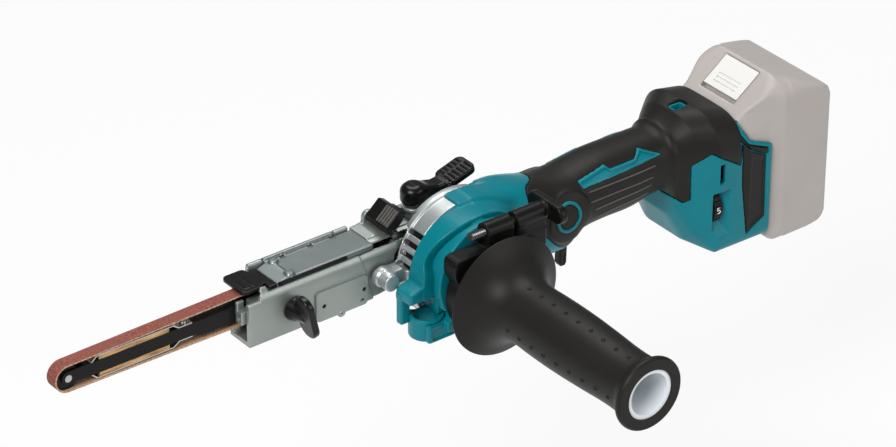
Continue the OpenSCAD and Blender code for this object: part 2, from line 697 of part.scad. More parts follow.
// Side handle: hub with a split clamp ring and barrel, tube, grip with guard disc
ring_y0 = -53;
ring_y1 = -41;
barrel_y = -47;
barrel_z = 40.5;
barrel_r = 6;
split_x0 = 12;
split_x1 = 15;
hub_r = 30.5;
hub_top = 31.5;
module side_handle_hub() {
    color(black) difference() {
        union() {
            rod_y(0, 0, ring_y0 - 5, ring_y1, hub_r);
            rod_x(barrel_y, barrel_z, -7, 36, barrel_r);
            box([-7, barrel_y - barrel_r, 20], [36, barrel_y + barrel_r, barrel_z]);
            along_y(ring_y0, ring_y1) polygon([
                [-27, 12], [-31, 18], [-32, 22], [-32, hub_top - 2.5], [-29.5, hub_top],
                [36, hub_top], [36, 20], [27, 12], [0, 0]]);
            rod_y(0, 0, ring_y0 - 18, ring_y0 - 4, tube_r - 2.6);
        }
        rod_y(0, 0, collar_end - 0.4, ring_y1 + 1, collar_r + fit);
        box([split_x0, ring_y0 - 0.5, 20], [split_x1, ring_y1 + 1, 60]);
        rod_x(barrel_y, barrel_z, -10, 40, 3 + fit);
    }
}
module side_handle_tube() {
    color([0.9, 0.92, 0.93]) difference() {
        rod_y(0, 0, -grip_end + 1, ring_y0 - 5, tube_r);
        rod_y(0, 0, -grip_end, ring_y0 - 4, tube_r - 2.6);
    }
}
// Grip outline as radius and distance from the free end
function grip_outline() =
    let (len = grip_end + ring_y0 - 5, flare = 23)
    concat([[tube_r, 0], [22.6, 0], [23.4, 1], [23.4, 4]],
           arc(23.4, 11, 5, 270 - 30, 180, 4),
           [[18.6, 24], [19.6, 45], [grip_r, 70], [20.2, len - flare - 8]],
           [for (i = [0:8]) let (t = i / 8)
               [20 + (guard_r - 20) * pow(t, 2.2), len - flare + (flare - 2) * pow(t, 0.8)]],
           [[guard_r, len - 0.6], [guard_r - 0.8, len], [tube_r, len]]);
module side_handle_grip() {
    color(charcoal) translate([0, -grip_end, 0]) rotate([-90, 0, 0]) rotate_extrude() polygon(grip_outline());
}
wing_reach = 14;
module clamp_bolt() { color(steel) rod_x(barrel_y, barrel_z, -17, 42, 3); }
module clamp_wing() {
    color(black) difference() {
        union() {
            rod_x(barrel_y, barrel_z, 36.4, 40, 5);
            along_x(39, 44.5) translate([barrel_y, barrel_z]) polygon(wing_outline());
        }
        rod_x(barrel_y, barrel_z, 30, 42, 3);
    }
}
function wing_outline() = concat(arc(-wing_reach, 0, 2.6, 120, 240, 8), arc(0, 0, 6, 250, 290, 8),
    arc(wing_reach, 0, 2.6, -60, 60, 8), arc(0, 0, 6, 70, 110, 8));

// Main handle: two inner shells under a soft layer
handle_rings = [
    neck_ring, [82, 23.3, 25.6, 3.4, 0.2], [90, 22.6, 22.4, 6.2, 0.05], [97, 22, 21.6, 8.2, 0],
    [112, 21.6, 22.2, 9.6, 0], [135, 21.6, 22.2, 9.8, 0], [150, 20.7, 20.8, 11, 0],
    [170, 20.6, 20.2, 11.2, 0]];
module handle_shell() {
    difference() {
        loft(handle_rings, -soft_t);
        loft(handle_rings, -soft_t - shell_t);
    }
}
module handle_shell_left() {
    color(teal) intersection() { handle_shell(); box([40, -50, -60], [190, 0, 80]); }
}
module handle_shell_right() {
    color(teal) difference() {
        intersection() { handle_shell(); box([40, 0, -60], [190, 50, 80]); }
        switch_gap();
    }
}
module grip_overmould() {
    color(charcoal) difference() {
        loft(handle_rings);
        loft(handle_rings, -soft_t);
        switch_gap();
        for (side = [-1, 1]) rod_y(cap_x, cap_z, side < 0 ? -40 : 15, side < 0 ? -15 : 40, cap_r);
    }
}
cap_x = 80;
cap_z = 6;
cap_r = 9.5;
module round_caps() {
    color(charcoal) for (side = [-1, 1]) {
        difference() {
            rod_y(cap_x, cap_z, side < 0 ? -24.8 : 22, side < 0 ? -22 : 24.8, cap_r - 0.05);
            loft(handle_rings, -soft_t);
        }
    }
}

// Slide switch on the far side of the handle
switch_x = 108;
switch_z = 12;
switch_travel = 6;
module switch_gap() {
    box([switch_x - 9 - switch_travel, 12, switch_z - 5.5], [switch_x + 9, 40, switch_z + 5.5]);
}
module slide_switch() {
    color(black) {
        box([switch_x - 8.5, 14, switch_z - 5], [switch_x + 8.5, 24, switch_z + 5]);
        for (i = [0:3]) {
            x = switch_x - 7 + i * 4;
            box([x, 24, switch_z - 5], [x + 2, 25, switch_z + 5]);
        }
    }
}

// Rear base, drawn as octagons that the walls join: place, half width, low, high, corner cuts
function octagon(w, low, high, cut_low, cut_high) = [
    [-w, low + cut_low], [-w + cut_low, low], [w - cut_low, low], [w, low + cut_low],
    [w, high - cut_high], [w - cut_high, high], [-w + cut_high, high], [-w, high - cut_high]];
base_stations = [
    [166, 20, -26, 33, 8, 10], [175, 28, -46, 41, 10, 14],
    [187, base_half_w, -52, 43, 3.5, 17], [229, base_half_w + 0.5, -52, 32, 3, 11]];
nose_floor = 32.4;
module base_block(inset) {
    hull() for (s = base_stations) {
        x = s[0] + (s[0] < 200 ? inset * 1.4 : -inset);
        along_x(x, x + 0.4) polygon(octagon(s[1] - inset, s[2] + inset, s[3] - inset, s[4], s[5]));
    }
}
module base_shell() {
    difference() {
        base_block(0);
        base_block(shell_t + 0.5);
        loft(handle_rings);
        box([210, -28, -45], [240, 28, 25]);
        box([nose_x + 0.6, -28, 20], [240, 28, 60]);
        box([212, -60, nose_floor - 0.8], [240, 60, 80]);
        for (side = [-1, 1]) {
            box([203, side < 0 ? -50 : 37.4, -38], [223, side < 0 ? -37.4 : 50, 12]);
        }
        dial_window();
    }
}
// Side view of the dark shoulder on the base
module shoulder_outline() {
    polygon([[140, -12], [167.5, -12], [166.5, 18], [182, 22.5], [204, 7], [204, 14], [240, 14],
        [240, 70], [140, 70]]);
}
module base_housing() {
    color(teal) difference() { base_shell(); along_y(-60, 60) shoulder_outline(); }
}
module base_shoulder() {
    color(charcoal) intersection() { base_shell(); along_y(-60, 60) shoulder_outline(); }
}
module vent_panels() {
    color(black) for (side = [-1, 1]) {
        y0 = side < 0 ? -38.3 : 37.4;
        box([203.2, y0, -37.8], [222.8, y0 + 0.9, 11.8]);
    }
}

// Speed dial behind its window on the near side
dial_x = 187.5;
dial_y = -24.6;
dial_z = -20;
dial_r = 12.5;
dial_w = 6;
module dial_window() {
    box([dial_x - 3.6, -45, dial_z - 9.5], [dial_x + 3.6, -28, dial_z + 9.5]);
    box([dial_x - 3.6, -34, dial_z - 13], [dial_x + 3.6, -24, dial_z + 13]);
}
module speed_dial() {
    color(pale) difference() {
        rod_x(dial_y, dial_z, dial_x - dial_w / 2, dial_x + dial_w / 2, dial_r);
        for (a = [0:15:345]) translate([0, dial_y, dial_z]) rotate([a, 0, 0])
            rod_x(0, dial_r, dial_x - 4, dial_x + 4, 0.5);
    }
}
module controller_board() {
    color([0.1, 0.35, 0.2]) {
        box([192, -33, -46], [206, 33, -44]);
        for (y = [-22, -6, 10]) box([194, y, -44.1], [204, y + 10, -36]);
        box([dial_x + dial_w / 2 + 0.3, dial_y - 3, -44], [dial_x + dial_w / 2 + 2, dial_y + 3, dial_z + 3]);
    }
}
module terminal_block() {
    color(black) difference() {
        box([209, -27.6, -44.6], [213, 27.6, 24.6]);
        for (y = [-16, 16]) box([208, y - 5, -20], [214, y + 5, 20]);
    }
}

// Slide-on battery: body, nose with the release button, rails, cells and terminals
mate_x = 230;
nose_x = 213;
ridge_z = 54.5;
function battery_side() = concat(
    [[mate_x, nose_floor], [nose_x, nose_floor], [nose_x, 36.5], [238, ridge_z]],
    arc(battery_back - 9, 34, 9, 69, 0, 6),
    arc(battery_back - 12, -battery_low + 12, 12, 0, -90, 6),
    [[mate_x + 8, -battery_low], [mate_x, -battery_low + 8]]);
module battery_body() {
    w = battery_w / 2;
    intersection() {
        along_y(-w, w) polygon(battery_side());
        along_x(nose_x - 1, battery_back + 1) polygon(octagon(w, -battery_low, ridge_z + 0.1, 5, 9));
        along_z(-70, 70) polygon([[nose_x - 1, -27], [215, -28], [240, -w], [battery_back + 1, -w],
            [battery_back + 1, w], [240, w], [215, 28], [nose_x - 1, 27]]);
    }
}
module battery_case() {
    color(pale) {
        difference() {
            battery_body();
            box([239, -33, -56], [275, 33, 37]);
            button_pocket();
            box([mate_x - 1, -22, -50], [mate_x + 2, 22, 20]);
        }
        difference() {
            for (y = [-26, 20]) box([215, y, -40], [mate_x + eps, y + 6, 22]);
            for (y = [-27, 24]) box([221, y, -41], [226, y + 3, 23]);
        }
    }
}
// The button slides down its sloping pocket
button_x = 227;
button_z = 46;
nose_lean = atan2(18, 25);
module on_nose() { translate([button_x, 0, button_z]) rotate([0, -nose_lean, 0]) children(); }
module button_pocket() { on_nose() box([-14.6, -16, -5], [11.5, 16, 6]); }
module battery_button() {
    color([0.93, 0.93, 0.92]) on_nose() difference() {
        box([-11.6, -15.5, -4.6], [11.1, 15.5, 0.2]);
        for (i = [0:2]) box([-8 + i * 3, -10, -0.4], [-7 + i * 3, 10, 1]);
    }
}
cell_r = 8.8;
module battery_cells() {
    color([0.15, 0.35, 0.6]) for (i = [0:4], k = [0, 1]) {
        rod_y(248.2 + k * 17.8, -46.4 + i * 18.5, -32.5, 32.5, cell_r);
    }
}
module battery_terminals() {
    color([0.8, 0.6, 0.2]) for (y = [-16, 16]) box([216, y - 3, -18], [mate_x + 2, y + 3, -12]);
}

module place() { translate([-box_mid_x, -box_mid_y, battery_low]) children(); }

place() abrasive_belt();
place() belt_arm();
place() tip_roller();
place() tip_pin();
place() upper_shoe();
place() lower_shoe();
place() upper_pad();
place() lower_pad();
place() shoe_screws();
place() arm_holder();
place() tension_spring();
place() arm_housing();
place() housing_lid();
place() lid_hinge_pin();
place() lid_tab();
place() wing_knob();
place() wing_knob_screw();
place() side_plate();
place() side_plate_screws();
place() tension_lever();
place() tension_lever_pin();
place() drive_pulley();
place() drive_shaft();
place() shaft_bearings();
place() toothed_belt();
place() motor_pulley();
place() shaft_pulley();
place() drive_case();
place() bearing_plate();
place() bearing_plate_screws();
place() lock_lever();
place() lock_bolt();
place() head_housing();
place() dust_port();
place() stator();
place() rotor();
place() motor_shaft();
place() cooling_fan();
place() motor_bearings();
place() side_handle_hub();
place() side_handle_tube();
place() side_handle_grip();
place() clamp_bolt();
place() clamp_wing();
place() handle_shell_left();
place() handle_shell_right();
place() grip_overmould();
place() round_caps();
place() base_housing();
place() base_shoulder();
place() vent_panels();
place() speed_dial();
place() slide_switch();
place() controller_board();
place() terminal_block();
place() battery_case();
place() battery_button();
place() battery_cells();
place() battery_terminals();
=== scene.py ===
import math
from functools import reduce

import bpy
import numpy as np
from mathutils import Matrix, Vector


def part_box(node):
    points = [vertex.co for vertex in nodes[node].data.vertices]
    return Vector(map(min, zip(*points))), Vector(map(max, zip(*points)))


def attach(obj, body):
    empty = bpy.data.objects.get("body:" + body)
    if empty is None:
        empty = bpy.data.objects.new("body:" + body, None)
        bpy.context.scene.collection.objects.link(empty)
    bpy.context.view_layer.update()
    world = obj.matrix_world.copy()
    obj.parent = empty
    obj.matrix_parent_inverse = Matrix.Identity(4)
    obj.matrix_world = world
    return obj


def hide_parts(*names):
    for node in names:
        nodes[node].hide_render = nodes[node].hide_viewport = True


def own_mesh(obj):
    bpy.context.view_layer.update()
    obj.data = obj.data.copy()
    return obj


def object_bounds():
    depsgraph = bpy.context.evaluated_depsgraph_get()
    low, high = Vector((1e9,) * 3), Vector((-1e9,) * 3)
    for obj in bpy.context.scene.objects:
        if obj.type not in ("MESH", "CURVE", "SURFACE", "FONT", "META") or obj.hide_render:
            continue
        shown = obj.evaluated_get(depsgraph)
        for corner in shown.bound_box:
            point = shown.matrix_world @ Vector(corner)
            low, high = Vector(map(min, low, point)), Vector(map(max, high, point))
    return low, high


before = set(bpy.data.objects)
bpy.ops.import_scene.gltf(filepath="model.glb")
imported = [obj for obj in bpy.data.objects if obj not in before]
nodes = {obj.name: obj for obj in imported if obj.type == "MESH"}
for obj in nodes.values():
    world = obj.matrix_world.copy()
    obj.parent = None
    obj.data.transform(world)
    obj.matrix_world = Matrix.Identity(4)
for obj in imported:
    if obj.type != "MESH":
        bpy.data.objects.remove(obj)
cad_low, cad_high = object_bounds()

# Shapes are drawn in millimetres about the motor axis, which lies along Y, with Y = 0 in the battery's
# middle plane. +X runs to the battery, +Z is up and -Y to the side handle. This is where that origin is.
MM = 0.001
MICRON = 1e-6
shaft_low, shaft_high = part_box("motor_shaft")
case_low, case_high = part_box("battery_case")
ORIGIN = np.array([
    (shaft_low.x + shaft_high.x) / 2,
    (case_low.y + case_high.y) / 2,
    (shaft_low.z + shaft_high.z) / 2])


def drawn_box(node):
    """Lowest and highest corner of a CAD node in drawing millimetres."""
    low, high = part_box(node)
    return (np.array(low) - ORIGIN) / MM, (np.array(high) - ORIGIN) / MM


# Distance fields: each takes points as (x, y, z) arrays and gives millimetres to a surface, below 0 inside

def both(*fields):
    """What fields share, with sharp edges."""
    return reduce(np.maximum, fields)


def either(*fields):
    """Union of fields, with sharp edges."""
    return reduce(np.minimum, fields)


def without(body, *tools):
    """A field with others cut out of it, with sharp edges."""
    return both(body, *(-tool for tool in tools))


def join(a, b, fillet):
    """Union of two fields, with a soft fillet where they meet."""
    near = np.maximum(fillet - np.abs(a - b), 0) / fillet
    return np.minimum(a, b) - near * near * fillet / 4


def meet(a, b, soft):
    """What two fields share, with a soft edge."""
    return -join(-a, -b, soft)


def cut(a, b, soft):
    """The first field without the second, with a soft edge."""
    return -join(-a, b, soft)


def span(along, low, high):
    """The space between two values of a coordinate."""
    return np.abs(along - (low + high) / 2) - (high - low) / 2


def slab(flat, ends, edge=0.0):
    """A flat field between two end faces, with rounded edges."""
    flat = flat + edge
    ends = ends + edge
    outside = np.hypot(np.maximum(flat, 0), np.maximum(ends, 0))
    return outside + np.minimum(np.maximum(flat, ends), 0) - edge


def extruded(flat, along, low, high, edge=0.0):
    """A flat field drawn out along one coordinate, with rounded edges."""
    return slab(flat, span(along, low, high), edge)


def rectangle(u, v, low, high, corner=0.0):
    """Flat rounded rectangle between two corners."""
    return extruded(span(u, low[0], high[0]), v, low[1], high[1], corner)


def polygon(u, v, points):
    """Flat field of a closed outline."""
    nearest = np.full(np.broadcast(u, v).shape, np.inf)
    inside = np.zeros(nearest.shape, bool)
    for (ax, ay), (bx, by) in zip(points, points[1:] + points[:1]):
        ex, ey = bx - ax, by - ay
        t = np.clip(((u - ax) * ex + (v - ay) * ey) / (ex * ex + ey * ey), 0, 1)
        nearest = np.minimum(nearest, (u - ax - t * ex) ** 2 + (v - ay - t * ey) ** 2)
        if ey != 0:
            inside ^= ((ay > v) != (by > v)) & (u < ex * (v - ay) / ey + ax)
    return np.where(inside, -1, 1) * np.sqrt(nearest)


def block(p, low, high, edge=0.0):
    """Box with rounded edges."""
    q = [span(c, a, b) + edge for c, a, b in zip(p, low, high)]
    outside = np.sqrt(sum(np.maximum(c, 0) ** 2 for c in q))
    return outside + np.minimum(both(*q), 0) - edge


def disc(u, v, centre_of, r):
    """Flat round field."""
    return np.hypot(u - centre_of[0], v - centre_of[1]) - r


def rod_along(axis):
    """Gives the field function of round rods along an axis, at a place on the other two."""
    u, v = (i for i in range(3) if i != axis)

    def rod(p, at_u, at_v, low, high, r, edge=0.0):
        return extruded(disc(p[u], p[v], (at_u, at_v), r), p[axis], low, high, edge)
    return rod


rod_x, rod_y, rod_z = (rod_along(axis) for axis in range(3))


def turned(p, axis, degrees, about):
    """Points as seen from a frame that is turned about an axis through a point."""
    back = np.array(Matrix.Rotation(-math.radians(degrees), 3, axis))
    q = [c - a for c, a in zip(p, about)]
    return tuple(sum(back[i][k] * q[k] for k in range(3)) for i in range(3))


def curve(x, places, values):
    """Smooth curve through values at places."""
    places, values = np.array(places, float), np.array(values, float)
    slopes = np.gradient(values, places)
    i = np.clip(np.searchsorted(places, x) - 1, 0, len(places) - 2)
    gap = places[i + 1] - places[i]
    t = np.clip((x - places[i]) / gap, 0, 1)
    start = values[i] * (1 + 2 * t) + slopes[i] * gap * t
    end = values[i + 1] * (3 - 2 * t) - slopes[i + 1] * gap * (1 - t)
    return start * (1 - t) ** 2 + end * t ** 2


# Skins: meshes over the zero level of a field
# These say how points settle on it, how far the grid is off round numbers and how meshes are thinned out

PROBE = 0.04
SETTLE_ROUNDS = 4
LEAST_SLOPE = 0.05
LONGEST_MOVE = 0.6
GRID_SHIFT = 1.37
KEEP = 0.4
NORMAL_WEIGHT = 60


def settle(field, points):
    """Moves points onto the field's surface."""
    for _ in range(SETTLE_ROUNDS):
        slope = np.stack([
            field(tuple((points + s).T)) - field(tuple((points - s).T)) for s in np.eye(3) * PROBE], 1)
        slope /= 2 * PROBE
        size = np.maximum((slope ** 2).sum(1), LEAST_SLOPE)
        move = np.clip(field(tuple(points.T)) / size, -LONGEST_MOVE, LONGEST_MOVE)
        points = points - move[:, None] * slope
    return points


def skin(field, low, high, step):
    """Points and quads of the field's surface inside a box, on a grid of that step."""
    low = np.array(low, float) - GRID_SHIFT * step
    axes = [np.arange(a, b + 2 * step, step) for a, b in zip(low, high)]
    sizes = tuple(len(a) for a in axes)
    value = np.broadcast_to(field(tuple(np.meshgrid(*axes, indexing="ij", sparse=True))), sizes)
    inside = value < 0
    corners = [(i, j, k) for i in (0, 1) for j in (0, 1) for k in (0, 1)]
    filled = sum(
        inside[i:sizes[0] - 1 + i, j:sizes[1] - 1 + j, k:sizes[2] - 1 + k].astype(np.int8)
        for i, j, k in corners)
    mixed = (filled > 0) & (filled < len(corners))
    cells = np.argwhere(mixed)
    index = np.full(mixed.shape, -1)
    index[mixed] = np.arange(len(cells))

    total = np.zeros((len(cells), 3))
    hits = np.zeros(len(cells))
    for a in corners:
        for axis in range(3):
            if a[axis] == 0:
                b = np.array(a) + np.eye(3, dtype=int)[axis]
                va, vb = value[tuple((cells + a).T)], value[tuple((cells + b).T)]
                crossed = (va < 0) != (vb < 0)
                t = np.where(crossed, va / np.where(crossed, va - vb, 1), 0)
                total += np.where(crossed[:, None], np.array(a) + t[:, None] * (b - np.array(a)), 0)
                hits += crossed
    points = low + step * (cells + total / hits[:, None])

    quads = []
    for axis in range(3):
        u, v = (axis + 1) % 3, (axis + 2) % 3
        first = np.take(inside, range(sizes[axis] - 1), axis)
        second = np.take(inside, range(1, sizes[axis]), axis)
        edges = np.argwhere(first != second)
        leaving = first[tuple(edges.T)]
        ring = []
        for du, dv in ((1, 1), (0, 1), (0, 0), (1, 0)):
            cell = edges.copy()
            cell[:, u] -= du
            cell[:, v] -= dv
            ring.append(index[tuple(cell.T)])
        ring = np.stack(ring, 1)
        quads.append(np.where(leaving[:, None], ring, ring[:, ::-1]))
    return settle(field, points), np.concatenate(quads)


def placed(name, data):
    """A new object in the scene."""
    thing = bpy.data.objects.new(name, data)
    bpy.context.scene.collection.objects.link(thing)
    return thing


def mesh_piece(name, points, faces, material, body, replaced=(), slot=None):
    """A piece from points in drawing millimetres, on a CAD body, for the nodes it replaces; the slot argument
    is not used.
    """
    mesh = bpy.data.meshes.new(name)
    mesh.from_pydata((np.array(points) * MM + ORIGIN).tolist(), [], [list(map(int, f)) for f in faces])
    mesh.polygons.foreach_set("use_smooth", [True] * len(mesh.polygons))
    mesh.update()
    piece = placed(name, mesh)
    mesh.materials.append(material)
    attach(piece, body)
    if replaced:
        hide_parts(*replaced)
    return piece


def field_piece(name, field, low, high, step, material, body, replaced=(), slot=None, keep=KEEP):
    """A piece whose surface is a field's, thinned out where it is flat."""
    piece = mesh_piece(name, *skin(field, low, high, step), material, body, replaced, slot)
    thin = piece.modifiers.new("thin", "DECIMATE")
    thin.ratio = keep
    even = piece.modifiers.new("even", "WEIGHTED_NORMAL")
    even.weight = NORMAL_WEIGHT
    return piece


def covering(name, node, field, below, above, step, material, body, keep=KEEP):
    """A field's piece in place of a CAD node, on a grid that reaches further than the node's box."""
    low, high = drawn_box(node)
    return field_piece(name, field, low - below, high + above, step, material, body, [node], keep=keep)


def second_finish(piece, material, where):
    """Gives a second material to the faces whose middle, in drawing millimetres, is in a place."""
    piece.data.materials.append(material)
    middle = np.empty(3 * len(piece.data.polygons))
    piece.data.polygons.foreach_get("center", middle)
    middle = (middle.reshape(-1, 3) - ORIGIN) / MM
    piece.data.polygons.foreach_set("material_index", where(middle).astype(int).tolist())


def strips(rings, sides, first=0, closed=False):
    """Quads between rings of points that follow one another, each with that many sides."""
    faces = []
    for k in range(rings if closed else rings - 1):
        a = first + k * sides
        b = first + (k + 1) % rings * sides
        for i in range(sides):
            j = (i + 1) % sides
            faces.append((a + i, a + j, b + j, b + i))
    return faces


# Materials

NOISE_LOW, NOISE_HIGH = 0.3, 0.7
DRIFT_SCALE = 45.0
GRAIN_STRENGTH = 0.35


def linear(r, g, b):
    """Linear colour of an sRGB colour given from 0 to 255."""
    def one(c):
        c /= 255
        return c / 12.92 if c <= 0.04045 else ((c + 0.055) / 1.055) ** 2.4
    return (one(r), one(g), one(b), 1.0)


def fill(node, **values):
    """Values for a node's inputs, with the spaces in their names written as underscores."""
    for key, value in values.items():
        node.inputs[key.replace("_", " ")].default_value = value


class Nodes:
    """A material's node tree, with short ways to add and link nodes."""

    def __init__(self, name):
        self.material = bpy.data.materials.new(name)
        self.material.use_nodes = True
        self.tree = self.material.node_tree
        self.shader = self.tree.nodes["Principled BSDF"]
        self.place = self.add("ShaderNodeTexCoord").outputs["Object"]

    def add(self, kind, **settings):
        """A new node, with its settings."""
        node = self.tree.nodes.new(kind)
        for key, value in settings.items():
            setattr(node, key, value)
        return node

    def link(self, output, target):
        """Links an output to an input."""
        self.tree.links.new(output, target)

    def noise(self, scale, detail, stretch=None):
        """Noise over the object, with about scale lumps in a metre."""
        node = self.add("ShaderNodeTexNoise")
        fill(node, Scale=scale, Detail=detail)
        source = self.place
        if stretch:
            mapping = self.add("ShaderNodeMapping")
            fill(mapping, Scale=stretch)
            self.link(source, mapping.inputs["Vector"])
            source = mapping.outputs["Vector"]
        self.link(source, node.inputs["Vector"])
        return node.outputs["Fac"]

    def colour(self, source, stops):
        """Base colour along a value; stops are (place, colour)."""
        node = self.add("ShaderNodeValToRGB")
        while len(node.color_ramp.elements) < len(stops):
            node.color_ramp.elements.new(1.0)
        for element, (place, colour) in zip(node.color_ramp.elements, stops):
            element.position = place
            element.color = colour
        self.link(source, node.inputs["Fac"])
        self.link(node.outputs["Color"], self.shader.inputs["Base Color"])

    def rough(self, source, low, high):
        """Roughness in a range, along a value."""
        node = self.add("ShaderNodeMapRange")
        fill(node, From_Min=NOISE_LOW, From_Max=NOISE_HIGH, To_Min=low, To_Max=high)
        self.link(source, node.inputs["Value"])
        self.link(node.outputs["Result"], self.shader.inputs["Roughness"])

    def bump(self, source, strength, depth):
        """Relief along a value, with its depth in micrometres."""
        node = self.add("ShaderNodeBump")
        fill(node, Strength=strength, Distance=depth * MICRON)
        self.link(source, node.inputs["Height"])
        self.link(node.outputs["Normal"], self.shader.inputs["Normal"])


def finish_of(name, colour, rough, grain, depth, metallic=0.0, spread=0.88, gloss=0.5):
    """A moulded, cast or rolled finish: broad colour drift, uneven gloss and a fine grain."""
    n = Nodes(name)
    light = linear(*colour)
    dark = tuple(c * spread for c in light[:3]) + (1.0,)
    n.colour(n.noise(DRIFT_SCALE, 4.0), [(NOISE_LOW, dark), (NOISE_HIGH, light)])
    fine = n.noise(grain, 2.0)
    n.rough(fine, *rough)
    n.bump(fine, GRAIN_STRENGTH, depth)
    fill(n.shader, Metallic=metallic, Specular_IOR_Level=gloss)
    return n.material


def cloth(name, scale, detail, stretch, stops, rough, strength, depth):
    """Grit, weave or felt: one noise gives its colour, gloss and relief."""
    n = Nodes(name)
    fibre = n.noise(scale, detail, stretch)
    n.colour(fibre, [(place, linear(*colour)) for place, colour in stops])
    n.rough(fibre, *rough)
    n.bump(fibre, strength, depth)
    return n.material


TEAL = finish_of("teal_plastic", (0, 118, 130), (0.26, 0.36), 2600, 30, gloss=0.2)
SOFT = finish_of("soft_grip", (32, 31, 29), (0.38, 0.50), 3400, 80, gloss=0.16)
BLACK = finish_of("black_plastic", (18, 18, 17), (0.30, 0.42), 2400, 50, gloss=0.16)
GLOSS_BLACK = finish_of("gloss_black", (14, 14, 14), (0.20, 0.30), 2400, 30, gloss=0.25)
# Lighter grey for the handle's fine ribs, also used as a painted highlight on the tension lever's rib faces.
RIB_GREY_AND_HIGHLIGHT = finish_of("rib_grey_and_highlight", (84, 81, 77), (0.40, 0.50), 2400, 30, gloss=0.3)
BLACK_STEEL = finish_of("black_steel", (17, 17, 17), (0.28, 0.40), 1500, 30, gloss=0.16)
CAST = finish_of("cast_aluminium", (156, 163, 159), (0.36, 0.50), 1500, 60, 0.75)
BRIGHT_CAST = finish_of("bright_cast", (184, 190, 190), (0.32, 0.46), 1500, 60, 0.75)
LID_METAL = finish_of("lid_metal", (128, 137, 136), (0.30, 0.42), 1500, 40, 0.75)
STEEL = finish_of("steel", (190, 192, 192), (0.22, 0.34), 1200, 20, 1.0)
BOLT_STEEL = finish_of("bolt_steel", (96, 96, 94), (0.25, 0.36), 1200, 20, 0.9)
WHITE = finish_of("white_plastic", (232, 238, 242), (0.30, 0.38), 1800, 20, spread=0.96)
BATTERY_GREY = finish_of("grey_plastic", (174, 167, 163), (0.40, 0.50), 2200, 50, spread=0.95)
BUTTON_WHITE = finish_of("button_plastic", (224, 222, 219), (0.40, 0.48), 2200, 30, spread=0.97)
COPPER = finish_of("copper", (190, 115, 70), (0.30, 0.42), 900, 100, 1.0)
BOARD = finish_of("board", (30, 95, 55), (0.35, 0.5), 700, 100)
CELL = finish_of("cell", (50, 95, 150), (0.3, 0.4), 600, 30)
CONTACT = finish_of("contact", (205, 165, 80), (0.25, 0.35), 900, 30, 1.0)
RUBBER = finish_of("drive_rubber", (30, 30, 30), (0.55, 0.7), 2000, 80)
GRIT = cloth("abrasive", 1500, 6.0, None, [(0.34, (80, 40, 34)), (0.5, (128, 66, 55)), (0.68, (158, 94, 80))],
             (0.75, 0.95), 0.8, 200)
BACKING = cloth("belt_backing", 900, 2.0, (1, 6, 1), [(0.35, (150, 112, 84)), (0.65, (205, 170, 138))],
                (0.7, 0.9), 0.5, 100)
FELT = cloth("tan_pad", 500, 5.0, (0.15, 1, 1), [(0.35, (140, 98, 58)), (0.65, (208, 166, 112))],
             (0.8, 0.95), 0.6, 200)

# Finishes of the CAD nodes; the others are steel
NODE_FINISHES = [
    (GRIT, "abrasive_belt"), (FELT, "upper_pad lower_pad"), (RUBBER, "toothed_belt"), (COPPER, "stator"),
    (BOARD, "controller_board"), (CELL, "battery_cells"), (CONTACT, "battery_terminals"),
    (WHITE, "side_handle_tube"), (BATTERY_GREY, "battery_case"), (BUTTON_WHITE, "battery_button"),
    (BLACK_STEEL, "belt_arm tip_roller side_plate_screws"),
    (CAST, "arm_housing housing_lid drive_case bearing_plate arm_holder side_plate"),
    (TEAL, "head_housing base_housing handle_shell_left handle_shell_right dust_port"),
    (SOFT, "grip_overmould base_shoulder side_handle_grip round_caps"),
    (BLACK, "lid_tab wing_knob tension_lever lock_lever side_handle_hub clamp_wing vent_panels"),
    (BLACK, "slide_switch terminal_block cooling_fan speed_dial")]
node_finish = {node: finish for finish, names in NODE_FINISHES for node in names.split()}
SHARP_ANGLE = math.radians(32)
BEVEL_ANGLE = math.radians(34)
FLAT_ANGLE = math.radians(1)
BEVEL_WIDTH = 0.35


def smooth_by_angle():
    """Node group that shades a mesh smooth and keeps edges sharp above an angle."""
    group = bpy.data.node_groups.new("smooth_by_angle", "GeometryNodeTree")
    for way in ("INPUT", "OUTPUT"):
        group.interface.new_socket("Geometry", in_out=way, socket_type="NodeSocketGeometry")
    enter = group.nodes.new("NodeGroupInput")
    leave = group.nodes.new("NodeGroupOutput")
    faces = group.nodes.new("GeometryNodeSetShadeSmooth")
    edges = group.nodes.new("GeometryNodeSetShadeSmooth")
    edges.domain = "EDGE"
    angle = group.nodes.new("GeometryNodeInputMeshEdgeAngle")
    limit = group.nodes.new("FunctionNodeCompare")
    limit.operation = "LESS_EQUAL"
    limit.inputs["B"].default_value = SHARP_ANGLE
    group.links.new(angle.outputs["Unsigned Angle"], limit.inputs["A"])
    group.links.new(enter.outputs[0], faces.inputs["Geometry"])
    group.links.new(faces.outputs[0], edges.inputs["Geometry"])
    group.links.new(limit.outputs[0], edges.inputs["Shade Smooth"])
    group.links.new(edges.outputs[0], leave.inputs[0])
    return group


SMOOTH = smooth_by_angle()


def shade_smooth(thing):
    """Smooth shading with sharp edges."""
    thing.modifiers.new("shade", "NODES").node_group = SMOOTH


for name, node in nodes.items():
    node.data.materials.clear()
    node.data.materials.append(node_finish.get(name, STEEL))
    flat = node.modifiers.new("flat", "DECIMATE")
    flat.decimate_type = "DISSOLVE"
    flat.angle_limit = FLAT_ANGLE
    bevel = node.modifiers.new("edges", "BEVEL")
    bevel.limit_method = "ANGLE"
    bevel.angle_limit = BEVEL_ANGLE
    bevel.width = BEVEL_WIDTH * MM
    bevel.segments = 2
    shade_smooth(node)

# Motor housing and main handle: half width, half height, middle height and lean at places along X,
# and how square the near and far halves of the tube are there

